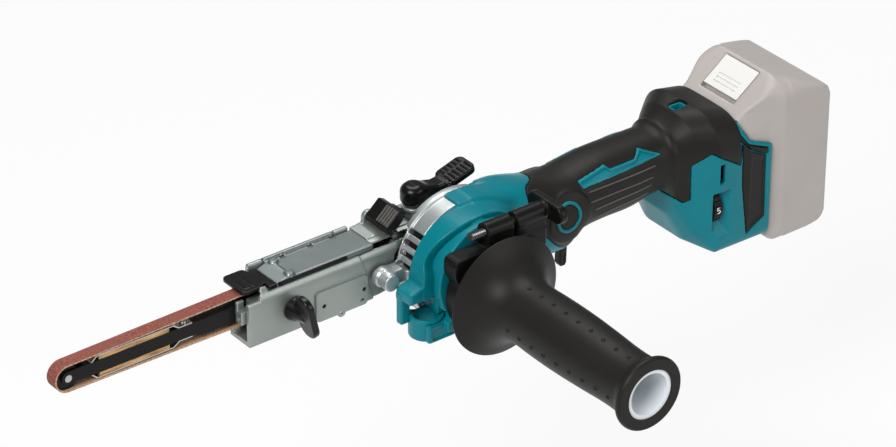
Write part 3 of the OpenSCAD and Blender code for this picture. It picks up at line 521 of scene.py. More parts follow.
TUBE_X = [16, 40, 52, 63, 82, 90, 97, 112, 135, 150, 172]
TUBE_HALF_W = [21, 22, 23, 23.6, 23.3, 22.6, 22, 21.6, 21.6, 20.7, 20.6]
TUBE_HALF_H = [33, 33.2, 30.5, 27.6, 24.9, 21.7, 21.6, 22.2, 22.2, 20.8, 20.2]
TUBE_MID = [6, 6, 5.4, 4.4, 4.1, 6.9, 8.2, 9.6, 9.8, 11, 11.2]
TUBE_LEAN = [0, 0, 0, 0, 0.2, 0.05, 0, 0, 0, 0, 0]
TUBE_NEAR = [4.2, 3.8, 3.0, 2.5, 2.3, 2.3, 2.3, 2.3, 2.3, 2.3, 2.3]
TUBE_FAR = [2.1, 2.1, 2.1, 2.2, 2.3, 2.3, 2.3, 2.3, 2.3, 2.3, 2.3]
SOFT_T = 2.0
SEAM = 0.25
NECK_X = (12.0, 63.0)
HANDLE_START = 30.0
INNER_END = 174.0


def tube_sizes(x, squareness):
    """Half width, half height, middle height and squareness of the tube at places along X."""
    return (curve(x, TUBE_X, values) for values in (TUBE_HALF_W, TUBE_HALF_H, TUBE_MID, squareness))


def tube(p):
    """Neck and handle as one rounded tube along X."""
    x, y, z = p
    x = x + curve(x, TUBE_X, TUBE_LEAN) * (z - curve(x, TUBE_X, TUBE_MID))
    half_w, half_h, mid, near = tube_sizes(x, TUBE_NEAR)
    power = np.where(y < 0, near, curve(x, TUBE_X, TUBE_FAR))
    u = np.abs(y) / half_w
    v = np.abs(z - mid) / half_h
    return ((u ** power + v ** power) ** (1 / power) - 1) * np.minimum(half_w, half_h)


def near_side(x, z):
    """Y of the tube's near surface at a place in the side view."""
    half_w, half_h, mid, power = tube_sizes(x, TUBE_NEAR)
    v = np.clip(np.abs(z - mid) / half_h, 0, 0.98)
    return -half_w * (1 - v ** power) ** (1 / power)


# The soft cover starts behind a wavy border on the neck: its place along X at angles from the top, which
# are counted from further round on the far side
BORDER_ANGLE = [0, 10, 16, 22, 30, 38, 50, 75, 91, 100, 109, 118, 130, 145, 162, 180]
BORDER_X = [64.5, 61.5, 57.5, 53, 50.2, 49.3, 49.3, 52.6, 58, 61.2, 64.5, 68, 74, 84, 87, 88]
BORDER_MID = 4.5
BORDER_SLOPE = 0.8
FAR_SHIFT = 18.0


def behind_border(p):
    """Below 0 where the soft cover lies on the neck."""
    x, y, z = p
    angle = np.degrees(np.arctan2(np.abs(y), z - BORDER_MID))
    angle = np.where(y > 0, np.maximum(angle - FAR_SHIFT, 0), angle)
    return BORDER_SLOPE * (curve(angle, BORDER_ANGLE, BORDER_X) - x)


# Drum, its hood, the arches of the housing and the wavy near edge of the band between them
DRUM = (3.0, 4.0)
DRUM_R = 41.0
DRUM_Y = (-16.0, -2.6)
DRUM_NEAR_R = 40.2
DRUM_GAP = DRUM_Y[0] - 0.05
FLANGE_R = 41.4
FLANGE_Y = (-4.2, -0.6)
FLANGE_END = 18.3
RIDGE_Y = (-2.4, 1.2)
RIDGE_R = 34.0
RIDGE_Z = 37.5
REST_Z = 30.4
HOOD_START = -3.0
HOOD_LOW = 8.3
HOOD_Y = (-17.0, 6.4)
HOOD_T = 4.8
PIVOT = (-27.4, 11.0)
COLLAR_R = 27.0
BAND = (1.0, 3.0)
BAND_R = 40.3
BAND_ANGLE = [0, 60, 112, 126, 142, 155, 165, 180, 270]
BAND_EDGE = [-33.2, -33.2, -33.0, -30.5, -27.2, -27.0, -30.6, -31.0, -31.0]
GROOVE_W = [0.7, 0.7, 0.8, 1.4, 2.0, 2.2, 2.3, 2.3, 2.3]
GROOVE_DEPTH = 2.8
NEAR_ARCH = (1.0, 6.3)
NEAR_ARCH_R = 34.2
ARCH_SQUARE = 6.0
ARCH_FRONT_Z = (-26.0, -2.0)
ARCH_FLOOR = -30.0
HEAD_NEAR = -39.5
PORT = (-32.0, -24.3)
PORT_R = 11.0
PORT_BORE = 6.5
PORT_Z = (-31.0, -16.0)
BAR_SIDE = [(-48.5, -3.5), (-48.5, 3.3), (-39.3, 6.0), (-28, 6.0), (-28, -3.5)]
BAR_NEAR = -31.0
LEG_X = (-48.5, -41.5)
LEG_LOW = -21.5
BESIDE_TOP = -18.4
FORK_ROOM = ((-11, -4.6, -24), (27.3, 40, 29))
COLLAR_Y = (-54.0, -36.0)
# Rooms for the stator and the fan: two ends along Y and a radius
MOTOR_ROOMS = [(-51.0, -24.0, 23.5), (-26.0, -15.0, 26.6)]
NECK_WALL = 5.5
NECK_ROOM_X = (20.0, 70.0)
# An end for cuts that go right through
FAR = 60.0


def arch(x, z, middle, r):
    """Side view of the motor housing: a disc that is squared off below."""
    rear = rectangle(x, z, (middle[0], middle[1] - r), (middle[0] + r, middle[1]), 3)
    front = rectangle(x, z, (middle[0] - r + ARCH_SQUARE, ARCH_FRONT_Z[0]),
                      (middle[0] + ARCH_SQUARE, ARCH_FRONT_Z[1]), 2)
    return without(join(join(disc(x, z, middle, r), rear, 3), front, 3), z - ARCH_FLOOR)


def hood_space(p):
    """Where the hood takes over from the drum: behind a line, and further back at the far flange."""
    x, y, z = p
    start = np.where(y < FLANGE_Y[0] - 0.1, HOOD_START, FLANGE_END)
    return both(start - x, HOOD_LOW - z, HOOD_Y[0] - y, y - HOOD_Y[1])


def foot(p):
    """Bar with a leg in front of the drum, and the block beside the dust port."""
    x, y, z = p
    bar = extruded(polygon(x, z, BAR_SIDE), y, BAR_NEAR, DRUM_GAP, 1.4)
    leg = block(p, (LEG_X[0], DRUM_Y[0] - 5.5, LEG_LOW), (LEG_X[1], DRUM_GAP, 0), 1.2)
    beside = block(p, (-39.4, -37, PORT_Z[0]), (-19, BAR_NEAR, BESIDE_TOP), 1.8)
    beside = cut(beside, block(p, (-36.4, -42, -29), (-22, -36, -21), 0.8), 0.6)
    return either(join(bar, leg, 1.5), beside)


def head(p):
    """Motor housing: near arch, band, hood over the drum, collar, neck and foot, hollow inside."""
    x, y, z = p
    angle = np.mod(np.degrees(np.arctan2(z - BAND[1], x - BAND[0])), 360)
    edge = curve(angle, BAND_ANGLE, BAND_EDGE)
    near = extruded(arch(x, z, NEAR_ARCH, NEAR_ARCH_R), y, HEAD_NEAR, -22, 1.2)
    groove = both(y - edge, edge - curve(angle, BAND_ANGLE, GROOVE_W) - y)
    near = cut(near, both(groove, -disc(x, z, NEAR_ARCH, NEAR_ARCH_R - GROOVE_DEPTH)), 0.3)
    near = cut(near, block(p, (-50, HEAD_NEAR - 2, BESIDE_TOP), (-25, BAR_NEAR, -10), 1.0), 0.8)
    band = slab(arch(x, z, BAND, BAND_R), both(edge - y, y - DRUM_Y[0]), 1.0)
    body = either(near, band, rod_y(p, 0, 0, *COLLAR_Y, COLLAR_R, 0.8))
    hood = both(rod_y(p, *DRUM, -18, FLANGE_Y[0] + 0.9, DRUM_R, 0.8), HOOD_START - x, HOOD_LOW - z)
    neck = both(tube(p), NECK_X[0] - x)
    neck = either(both(neck, -behind_border(p) + SEAM), both(neck + SOFT_T, x - NECK_X[1]))
    body = join(join(join(body, hood, 2), neck, 9), foot(p), 0.8)
    below_bar = block(p, (LEG_X[1], BAR_NEAR - 0.5, PORT_Z[1] - 1), (-29, DRUM_Y[0] + 1, -3.5), 0.8)
    body = cut(body, below_bar, 0.6)
    return without(
        body,
        *(rod_y(p, 0, 0, *room) for room in MOTOR_ROOMS),
        rod_y(p, *DRUM, -25, DRUM_Y[0], RIDGE_R),
        both(rod_y(p, *DRUM, DRUM_GAP, FAR, FLANGE_R + 0.1), -hood_space(p)),
        rod_y(p, *DRUM, DRUM_GAP, FAR, DRUM_R - HOOD_T),
        block(p, *FORK_ROOM),
        both(tube(p) + NECK_WALL, NECK_ROOM_X[0] - x, x - NECK_ROOM_X[1]),
        rod_z(p, *PORT, -50, PORT_Z[1] + 0.2, PORT_R + 0.05))


covering("motor_housing", "head_housing", head, (2, 3, 2), (30, 4, 4), 0.75, TEAL, "tool_body")


def dust_ring(p):
    """Lip of the dust port, dished at its top."""
    x, y, z = p
    ring = both(rod_z(p, *PORT, *PORT_Z, PORT_R, 1.0), y - DRUM_Y[0] + 0.1)
    dish = disc(x, y, PORT, PORT_BORE) - np.clip(z - PORT_Z[1] + 2.6, 0, 4) * 1.25
    return cut(ring, both(dish * 0.7, PORT_Z[0] - 2 - z), 0.5)


covering("dust_ring", "dust_port", dust_ring, 1.5, 1.5, 0.7, TEAL, "tool_body")

# Rear base: octagons along X with half width, low and high edges and corner cuts

BASE_X = [166, 175, 187, 229]
BASE_HALF_W = [20, 28, 38, 38.5]
BASE_LOW = [-26, -46, -52, -52]
BASE_HIGH = [33, 41, 43, 32]
BASE_CUT_LOW = [8, 10, 3.5, 3]
BASE_CUT_HIGH = [10, 13, 14.5, 11]
BASE_EDGE = 3.0
BASE_TOP_EDGE = 8.0
BASE_WALL = 3.0


def base(p):
    """Outside of the rear base."""
    x, y, z = p
    half_w, low, high, cut_low, cut_high = (
        np.interp(x, BASE_X, values)
        for values in (BASE_HALF_W, BASE_LOW, BASE_HIGH, BASE_CUT_LOW, BASE_CUT_HIGH))
    side = np.abs(y) - half_w
    upper = (side + z - high + cut_high) / math.sqrt(2)
    lower = (side + low - z + cut_low) / math.sqrt(2)
    roof = meet(meet(side, upper, BASE_TOP_EDGE), z - high, BASE_TOP_EDGE)
    walls = meet(roof, meet(lower, low - z, BASE_EDGE), BASE_EDGE)
    return meet(walls, both(BASE_X[0] - x, x - BASE_X[-1]), 1.0)


# Side views and boxes of the base's rim, shoulder, dial pocket, side slot, vents and eye
NOSE_X = 207.4
NOSE_FLOOR = 32.4
RIM_CUT = [(206.8, 70), (206.8, 36), (207.7, 28.4), (211.7, 22), (228.6, 14.6), (240, 14.6), (240, 70)]
SHOULDER = [(20, -60), (155, -60), (155, -2.5), (170.2, -14.7), (173.4, -12.1), (172.9, 12), (183.1, 20.9),
            (203.8, 7.5), (203.8, 24), (212.6, 15.2), (224.3, 9), (225.8, 9.2), (225.8, 12.9), (210.2, 19.6),
            (205.3, 26.8), (206.4, 37), (206.4, 70), (20, 70)]
DIAL = (187.5, -24.6, -20.0)
DIAL_HALF = (3.4, 10.0)
POCKET_Y = (-38.6, -31.8)
POCKET_FLOOR = -28.0
POCKET_SPREAD = (6.2, 10.5, 3.8)
REAR_SCALE = 0.4
END_SCALE = 0.5
POCKET_BACK = ((176, -45, -44), (204, -29.8, -2))
SIDE_SLOT = ((187.0, -46.0, -0.8), (191.0, -30.0, 12.9))
VENT = [(204.4, 23.2), (212.8, 14.5), (224.3, 8.4), (225, -36.5), (210, -45), (205, -7.5)]
VENT_INNER = [(213.2, 9.6), (222.6, 6.2), (223.2, -35.4), (213, -41), (212.2, -7.5)]
# X up to which the vent panels' front faces get the painted shade
VENT_SHADE_END = 211.6
VENT_FLOOR = 37.2
VENT_SUNK = 37.4
EYE = ((176.4, -5.4), (187.6, 3.4))
EYE_CORNER = 2.5
EYE_Z = (30.0, 40.6)
# Rooms for the battery's cheeks, rails, nose and top
BATTERY_ROOMS = [
    ((213.1, -35.4, 11.6), (240, 35.4, 40)), ((210, -28, -45), (240, 28, 25)),
    ((NOSE_X - 0.4, -28, 20), (240, 28, 60)), ((212, -60, NOSE_FLOOR - 0.8), (240, 60, 80))]


def base_cavity(p):
    """Inside of the base, open to the battery."""
    space = without(both(base(p) + BASE_WALL, p[0] - 226), block(p, *POCKET_BACK))
    return either(space, *(block(p, *room) for room in BATTERY_ROOMS))


# Caps and inlay on the handle's flanks, in the side view
CAP = (79.0, 7.5)
CAP_BOSS_R = 16.0
CAP_BOSS_RISE = 1.1
CAP_RISE = 1.7
RING_AT = (76.9, 9.5)
CAP_R = 7.6
STRIPE = [(92.8, 21.8), (92.0, 24.6), (112.8, 28.1), (115.4, 25.6), (134.9, 25.6), (141.4, 29.2),
          (153.9, 23.8)]
STRIPE_SUNK = 0.5
STRIPE_FLOOR = 1.6


def stripe_space(p):
    """Side view of the inlay, on both flanks of the handle."""
    return both(polygon(p[0], p[2], STRIPE), 6 - np.abs(p[1]))


def soft_cover(p):
    """Soft cover of the handle and the shoulder, hollow, with grooves for the inlay and the eye."""
    x, y, z = p
    handle = both(tube(p), HANDLE_START - x)
    boss = both(handle - CAP_BOSS_RISE, disc(x, z, CAP, CAP_BOSS_R))
    outer = join(join(handle, boss, 2.5), base(p), 10)
    inner = both(join(handle, base(p), 6) + SOFT_T, x - INNER_END)
    cover = without(outer, inner, base_cavity(p))
    cover = meet(cover, both(behind_border(p) + SEAM, polygon(x, z, SHOULDER) + SEAM), 0.6)
    cover = without(cover, both(stripe_space(p) - 0.3, -(tube(p) + 1.7)))
    return cut(cover, both(rectangle(x, y, *EYE, EYE_CORNER), EYE_Z[0] - z), 0.5)


def base_teal(p):
    """Plastic of the base, with its rim, vents, dial pocket and side slot."""
    x, y, z = p
    body = without(base(p), base_cavity(p))
    body = meet(body, -polygon(x, z, SHOULDER) + SEAM, 0.6)
    body = without(body, both(tube(p) - 0.3, x - 178))
    body = cut(body, polygon(x, z, RIM_CUT), 0.5)
    body = cut(body, extruded(polygon(x, z, VENT), np.abs(y), VENT_FLOOR - 0.8, 60), 0.4)
    sink = np.clip((POCKET_Y[1] - y) / (POCKET_Y[1] - POCKET_Y[0]), 0, 1)
    front = DIAL[0] - DIAL_HALF[0] - x
    rear = x - DIAL[0] - DIAL_HALF[0] - POCKET_SPREAD[0] * sink
    below = DIAL[2] - DIAL_HALF[1] - POCKET_SPREAD[1] * sink - z
    above = z - DIAL[2] - DIAL_HALF[1] - POCKET_SPREAD[2] * sink
    pocket = both(front, rear * REAR_SCALE, below * END_SCALE, above * END_SCALE, y - POCKET_FLOOR)
    body = cut(body, pocket, 0.5)
    return cut(body, block(p, *SIDE_SLOT, 0.8), 0.4)


base_low = drawn_box("base_housing")[0]
top_high = drawn_box("base_shoulder")[1]
field_piece("soft_cover", soft_cover, (45, -42, -38), top_high + 3, 0.8, SOFT, "tool_body",
            ["grip_overmould", "base_shoulder"])
field_piece("base_shell", base_teal, base_low - 2, top_high + 2, 0.8, TEAL, "tool_body", ["base_housing"])


def caps(p):
    """Round caps on both flanks of the handle, which follow its surface."""
    x, y, z = p
    cap = meet(tube(p) - CAP_RISE, disc(x, z, RING_AT, CAP_R), 0.8)
    return both(cap, -(tube(p) + 1.2), 10 - np.abs(y))


field_piece("flank_caps", caps, (66, -28, -1), (88, 28, 20), 0.6, SOFT, "tool_body", ["round_caps"])

TONGUE = [(83.2, -15), (82.6, -33.4), (83.8, -35.6), (87.0, -35.6), (88.2, -33.6), (88.8, -15)]
TONGUE_MID = (85.7, -6.5, -30.0)


def tongue(p):
    """Small tongue under the neck, with a groove in each flank."""
    u, v, w = (np.abs(c - mid) for c, mid in zip(p, TONGUE_MID))
    body = extruded(polygon(p[0], p[2], TONGUE), p[1], -9.6, -3.4, 1.2)
    return cut(body, both(u - 0.7, 2.6 - v, w - 3.4), 0.3)


field_piece("neck_tongue", tongue, (81, -11, -37), (90, -2, -14), 0.5, SOFT, "tool_body", slot="soft_grip")


def stripe(p):
    """Sunk inlay with a raised edge."""
    space = stripe_space(p) - 0.45
    surface = tube(p)
    rim = both(surface - 0.35, -(space + 1.1))
    return both(either(surface + STRIPE_SUNK, rim), -(surface + STRIPE_FLOOR), space)


field_piece("handle_inlay", stripe, (90, -24, 18), (156, 24, 33), 0.36, TEAL, "tool_body",
            slot="teal_plastic", keep=0.9)


def eye_lining(p):
    """Hollow teal block in the shoulder's eye."""
    x, y, z = p
    around = rectangle(x, y, *EYE, EYE_CORNER)
    wall = extruded(around + 0.1, z, *EYE_Z, 0.4)
    return cut(wall, both(around + 1.5 + 0.12 * (41 - z), EYE_Z[0] + 1 - z), 0.3)


field_piece("eye_lining", eye_lining, (174, -8, 28), (190, 6, 43), 0.5, TEAL, "tool_body",
            slot="teal_plastic")


def vents(p):
    """Dark panels in both flanks of the base, each with a sunk field and a step."""
    x, y, z = p
    flank = np.abs(y)
    panel = extruded(polygon(x, z, VENT) + 0.5, flank, VENT_FLOOR - 0.6, 38.0, 0.3)
    return cut(panel, extruded(polygon(x, z, VENT_INNER), flank, VENT_SUNK, 60, 0.2), 0.2)


panels = field_piece("vent_fill", vents, (202, -40, -47), (227, 40, 25), 0.6, SOFT, "tool_body",
                     ["vent_panels"])
# Painted shade: faces of each vent panel in front of this X take the darker black finish, standing in for the
# shade on the panel's sloping front.
second_finish(panels, BLACK, lambda middle: middle[:, 0] < VENT_SHADE_END)

# Battery

MATE_X = 230.0
RIDGE = (238.0, 54.5)
BACK_X = 278.0
LOW_Z = -63.0
BATTERY_HALF = 37.5
BUTTON = (227.0, 0.0, 46.0)
NOSE_LEAN = math.degrees(math.atan2(18, 25))
BATTERY_SIDE = [
    (MATE_X, 12.4), (228, 12.4), (213.6, 18.8), (212.6, 22.2), (208.4, 28.8), (NOSE_X, NOSE_FLOOR), RIDGE,
    (272, 42.5), (276, 39), (BACK_X, 34), (BACK_X, -51), (274.5, -59.5), (266, LOW_Z), (MATE_X + 8, LOW_Z),
    (MATE_X, LOW_Z + 8)]
NOSE_HALF = (25.2, 28.0, 37.5)
CHEEK_HALF = (35.2, 35.2, 37.5)
NOSE_PLACES = (NOSE_X, 215.0, 240.0)
CHEEK_PLACES = (NOSE_X, 229.0, 240.0)
CHEEK_Z = (16.0, 36.0)
PANEL_X = 246.0
PANEL_RISE = 0.8
TOP_CUT = 9.0
LOW_CUT = 5.0
CELL_ROOM = ((239, -33, -56), (275, 33, 37))
NOSE_ROOM = ((NOSE_X - 3, -26.5, 10), (MATE_X - 0.5, 26.5, NOSE_FLOOR - 0.6))
CONTACT_ROOM = ((MATE_X - 1, -22, -50), (MATE_X + 2, 22, 20))
BUTTON_SEAT = ((-14.6, -16, -5), (11.5, 16, 6))
RAIL = ((215, 20, -40), (MATE_X + 1, 26, 22))
RAIL_GROOVE = ((221, 24, -41), (226, 27, 23))


def battery(p):
    """Battery case: narrow nose, cheeks, cut corners, raised rear part, hollow, with two rails."""
    x, y, z = p
    low_share = np.clip((CHEEK_Z[1] - z) / (CHEEK_Z[1] - CHEEK_Z[0]), 0, 1)
    flank = np.interp(x, NOSE_PLACES, NOSE_HALF) * (1 - low_share)
    flank = flank + np.interp(x, CHEEK_PLACES, CHEEK_HALF) * low_share
    plan = 0.85 * (np.abs(y) - flank)
    across = np.abs(y) - BATTERY_HALF + np.where(x < PANEL_X, PANEL_RISE, 0)
    upper = (across + z - RIDGE[1] + TOP_CUT) / math.sqrt(2)
    lower = (across + LOW_Z - z + LOW_CUT) / math.sqrt(2)
    body = meet(meet(meet(polygon(x, z, BATTERY_SIDE), plan, 2.5), upper, 5), lower, 4)
    body = without(body, block(p, *CELL_ROOM), block(p, *NOSE_ROOM))
    body = cut(body, block(turned(p, "Y", -NOSE_LEAN, BUTTON), *BUTTON_SEAT, 0.5), 0.5)
    body = without(body, block(p, *CONTACT_ROOM))
    flanks = (x, np.abs(y), z)
    return join(body, without(block(flanks, *RAIL, 0.5), block(flanks, *RAIL_GROOVE)), 0.8)


covering("battery_body", "battery_case", battery, (8, 2, 2), 2, 1.0, BATTERY_GREY, "battery")

# Cast drive case: slotted drum with a far flange, lug, and the rear half of the arm's fork

FORK_X = (-8.7, 27.0)
FORK_Z = (-22.0, 24.0)
PLATE_Y = 27.6
LEVER_BOLT = (-5.0, 24.0)
LEVER_SEAT = 25.6
BOLT_BORE = 2.55
SHAFT_BORE = (-8.0, 12.0, 6.5)
SLOT_ANGLES = [141, 151, 161, 171]
SLOT_HALF = 1.65
LUG = (-50.5, 6.0)
STEP_R = 19.5
STEP_Y = (DRUM_Y[1], DRUM_Y[1] + 3)
STEP_Z = REST_Z - 0.8
# Bores about the swing axis: two ends along Y and a radius
PIVOT_BORES = [
    (DRUM_Y[1] - 0.1, STEP_Y[1], STEP_R), (DRUM_Y[1] - 4.4, DRUM_Y[1] + 1, 7), (-13, DRUM_Y[1], 5),
    (DRUM_Y[1] + 2, PLATE_Y + 1, 18.1)]
STEP_SIDE = [(PIVOT[0], -40), (PIVOT[0] + 14, -40), (PIVOT[0] + STEP_R, PIVOT[1]), (-15.3, STEP_Z),
             (-33, STEP_Z), (-33, 60), (-60, 60), (-60, -40)]


def drive_case(p):
    """Drum with its ridge, rest, lug and fork, stepped where the arm swings, hollow and slotted."""
    x, y, z = p
    body = rod_y(p, *DRUM, DRUM_Y[0], FLANGE_Y[0] + 1, DRUM_NEAR_R, 0.5)
    body = join(body, rod_y(p, *DRUM, *FLANGE_Y, FLANGE_R, 0.5), 0.8)
    for r, low in ((FLANGE_R, RIDGE_Z), (DRUM_NEAR_R, REST_Z)):
        rim = both(rod_y(p, *DRUM, *RIDGE_Y, r, 0.6), -disc(x, z, DRUM, RIDGE_R), low - z, x - FLANGE_END)
        body = join(body, rim, 0.4)
    lug = join(rod_y(p, *LUG, -8, DRUM_Y[1], 6.3, 1.6), rod_y(p, *LUG, DRUM_Y[0] + 0.05, -7, 5.3, 0.4), 0.8)
    body = join(body, lug, 1)
    body = join(body, block(p, (LUG[0], -12, 1.5), (-30, DRUM_Y[1], 11), 0.8), 2.5)
    fork = rectangle(x, z, (FORK_X[0], FORK_Z[0]), (FORK_X[1], FORK_Z[1]), 4)
    body = join(body, extruded(fork, y, DRUM_Y[1] - 1, PLATE_Y, 0.4), 1.5)
    body = join(body, rod_z(p, *LEVER_BOLT, FORK_Z[1] - 1, LEVER_SEAT, 6.5, 0.4), 0.8)
    inside = without(rod_y(p, *DRUM, DRUM_Y[0] - 1, DRUM_Y[1] - 4, DRUM_R - 3, 1),
                     rod_y(p, *PIVOT, DRUM_Y[1] - 5, DRUM_Y[1], 9.5))
    hood = both(hood_space(p), -disc(x, z, DRUM, DRUM_R - HOOD_T - 0.3), y - FLANGE_Y[1] - 0.2)
    body = without(
        body, inside, hood,
        extruded(polygon(x, z, STEP_SIDE), y, *STEP_Y),
        *(rod_y(p, *PIVOT, *bore) for bore in PIVOT_BORES),
        rod_y(p, 0, 0, *SHAFT_BORE),
        rod_z(p, *LEVER_BOLT, 10, 34, BOLT_BORE))
    for angle in SLOT_ANGLES:
        q = turned(p, "Y", -angle, (DRUM[0], 0, DRUM[1]))
        slot = rectangle(q[1], q[2], (DRUM_Y[0] - 6, -SLOT_HALF), (FLANGE_Y[0] + 0.6, SLOT_HALF),
                         SLOT_HALF - 0.1)
        body = cut(body, extruded(slot, q[0], DRUM_R - 8, DRUM_R + 2), 0.6)
    return body


covering("drum_case", "drive_case", drive_case, 1.5, 1.5, 0.65, BRIGHT_CAST, "tool_body")


def slot_shade_sheet(p):
    """Dark sheet behind the drum's slots: painted shade, so that the slots look dark inside."""
    x, y, z = p
    ring = both(disc(x, z, DRUM, DRUM_R - 3.05), -disc(x, z, DRUM, DRUM_R - 3.65))
    return both(ring, x + 20, DRUM_Y[0] + 0.5 - y, y + 5.4, 0 - z)


field_piece("slot_shade_sheet", slot_shade_sheet, (-37, -17, -2), (-18, -5, 36), 0.45, BLACK, "tool_body",
            slot="black_plastic")

# Arm housing: a cast tunnel with a round near shoulder, open at the front, round behind about the swing axis

HOUSE_Y = (-2.0, 27.0)
HOUSE_WALL = 3.5
TUNNEL_Y = (HOUSE_Y[0] + HOUSE_WALL, HOUSE_Y[1] - HOUSE_WALL)
HOUSE_FRONT = -144.0
HOUSE_LOW = -10.0
HOUSE_TOP = 26.0
HOUSE_END_R = 17.5
SHOULDER_R = 10.0
SHOULDER_Z = 16.0
LID_X = (-128.0, -52.0)
LID_Y0 = 1.0
TAB_Y0 = 4.0
LID_Z0 = 22.5
HINGE = (25.4, 25.6)
HINGE_R = 2.2
HINGE_BORE = 1.1
KNUCKLE = 10.0
KNOB = (-112.0, 6.0)
KNOB_TURN = -12.0
LEVER = (-38.0, 29.0)
LEVER_HALF = 11.0
ARM_Y = 12.5
LEVER_Y = (ARM_Y - LEVER_HALF, ARM_Y + LEVER_HALF)
EAR_Y = (LEVER_Y[1], LEVER_Y[1] + 3.5)
EAR_HALF = 4.2
CLEAR = 0.4
REAR_INSET = 0.9
CORNER_Y = 18.0
REAR_START = -64.0
REAR_SLOPE = 0.275
TUNNEL_END = LID_X[1] - 8
PIVOT_ROOM_R = 13.4
PIVOT_ROOM_HALF = 13.0
PIVOT_HOLE_R = 10.0
TAB_SEAT_Z = 19.5
LEVER_ROOM_Z = (26.0, 40.0)
KNOB_SLOT = ((KNOB[0] - 3.2, KNOB[1] - 3.2), (KNOB[0] + 9.2, KNOB[1] + 3.2))
SPRING_SEAT = ((-74, TUNNEL_Y[0] - 0.5, 5.5), (-70, TUNNEL_Y[1] + 0.5, 16.5))
# A height for cuts that are open at the top, and two ends for cuts across the housing
OPEN_TOP = HOUSE_TOP + 6
ACROSS = (HOUSE_Y[0] - 1, HOUSE_Y[1] + 1)
HOUSE_ROUND = [(PIVOT[0] + HOUSE_END_R * math.sin(math.radians(a)),
                PIVOT[1] + HOUSE_END_R * math.cos(math.radians(a))) for a in range(0, 181, 9)]
HOUSE_SIDE = [(HOUSE_FRONT, HOUSE_LOW), (HOUSE_FRONT, 18.5), (-136, 18.5), (-132, HOUSE_TOP),
              (-62, HOUSE_TOP), *HOUSE_ROUND, (-49, HOUSE_LOW)]
CORNER_CUT = [(HOUSE_FRONT - 1, CORNER_Y), (HOUSE_FRONT - 1, ACROSS[1]), (LID_X[0] - 1, ACROSS[1])]
# Where the hinge line is open, between and beside the housing's two knuckles
HINGE_GAPS = [(LID_X[0] - CLEAR, LID_X[0] + 1.6), (LID_X[0] + 12.4, LID_X[1] - 12.4),
              (LID_X[1] - 1.6, LID_X[1] + CLEAR)]


def arm_housing(p):
    """Housing with its lever ear, hinge knuckles, tunnel, lid seat, tab seat, knob slot and spring seat."""
    x, y, z = p
    body = extruded(polygon(x, z, HOUSE_SIDE), y, *HOUSE_Y, 0.9)
    side = HOUSE_Y[0] + SHOULDER_R - y
    rise = z - SHOULDER_Z
    corner = np.hypot(np.maximum(side, 0), np.maximum(rise, 0)) - SHOULDER_R
    body = meet(body, np.where((rise > 0) & (side > 0), corner, -1), 0.4)
    behind = REAR_START + REAR_SLOPE * (HOUSE_TOP - z) - x
    body = either(both(body, -behind), body + REAR_INSET)
    low, high = (LEVER[0] - EAR_HALF, EAR_Y[0], 18), (LEVER[0] + EAR_HALF, EAR_Y[1], LEVER[1])
    ear = either(rod_y(p, *LEVER, *EAR_Y, EAR_HALF, 0.5), block(p, low, high, 0.5))
    body = join(body, ear, 1.5)
    for start in (LID_X[0] + 2, LID_X[1] - KNUCKLE - 2):
        low, high = (start, HINGE[0] - 1.6, LID_Z0 - 1), (start + KNUCKLE, HOUSE_Y[1], HINGE[1])
        body = either(body, rod_x(p, *HINGE, start, start + KNUCKLE, HINGE_R, 0.3), block(p, low, high, 0.3))
    tunnel = block(p, (HOUSE_FRONT - 2, TUNNEL_Y[0], HOUSE_LOW + 3), (TUNNEL_END, TUNNEL_Y[1], LID_Z0), 0.4)
    body = cut(body, tunnel, 0.4)
    low = (TUNNEL_END - 1, TUNNEL_Y[0], PIVOT[1] - PIVOT_ROOM_HALF)
    high = (PIVOT[0], TUNNEL_Y[1], PIVOT[1] + PIVOT_ROOM_HALF)
    body = without(body, rod_y(p, *PIVOT, *TUNNEL_Y, PIVOT_ROOM_R), block(p, low, high))
    low, high = (LID_X[0] - CLEAR, LID_Y0 - CLEAR, LID_Z0), (LID_X[1] + CLEAR, HINGE[0] - 1.6, OPEN_TOP)
    body = cut(body, block(p, low, high), 0.4)
    gaps = (block(p, (x0, HINGE[0] - 2, LID_Z0), (x1, ACROSS[1], OPEN_TOP)) for x0, x1 in HINGE_GAPS)
    body = without(body, *gaps)
    low, high = (HOUSE_FRONT - 2, TAB_Y0 - CLEAR, TAB_SEAT_Z), (LID_X[0], ACROSS[1], OPEN_TOP)
    body = cut(body, block(p, low, high, 0.4), 0.4)
    body = cut(body, rod_y(p, *PIVOT, *ACROSS, PIVOT_HOLE_R), 0.4)
    low = (LEVER[0] - 6, ACROSS[0], LEVER_ROOM_Z[0])
    high = (PIVOT[0] + 12, LEVER_Y[1] + CLEAR, LEVER_ROOM_Z[1])
    body = without(
        body,
        rod_x(p, *HINGE, *LID_X, HINGE_BORE),
        extruded(rectangle(x, z, *KNOB_SLOT, 1), y, ACROSS[0], TUNNEL_Y[0] + 1),
        rod_y(p, *LEVER, *ACROSS, 1.5),
        block(p, low, high))
    body = cut(body, extruded(polygon(x, y, CORNER_CUT), z, -20, 40), 0.6)
    return either(body, block(p, *SPRING_SEAT))


covering("arm_case", "arm_housing", arm_housing, 1.5, 1.5, 0.65, CAST, "arm_unit", keep=0.3)

# Lid, with the holder's nose below its front, a thin dark strip along its near edge and its thumb tab

LID_SIDE = [(LID_X[0], LID_Z0), (LID_X[0], 23.2), (-122, 23.2), (-121.4, 24.2), (-113.2, 26.8),
            (-111.6, 27.2), (-110.2, HOUSE_TOP), (LID_X[1], HOUSE_TOP), (LID_X[1], LID_Z0)]
LID_FAR = HINGE[0] - 2.4
LID_KNUCKLE_X = (LID_X[0] + 12.8, LID_X[1] - 12.8)
LID_EAR_X = -111.0
LID_EAR_R = 2.8
NOTCHES = (-104, -84, -68)


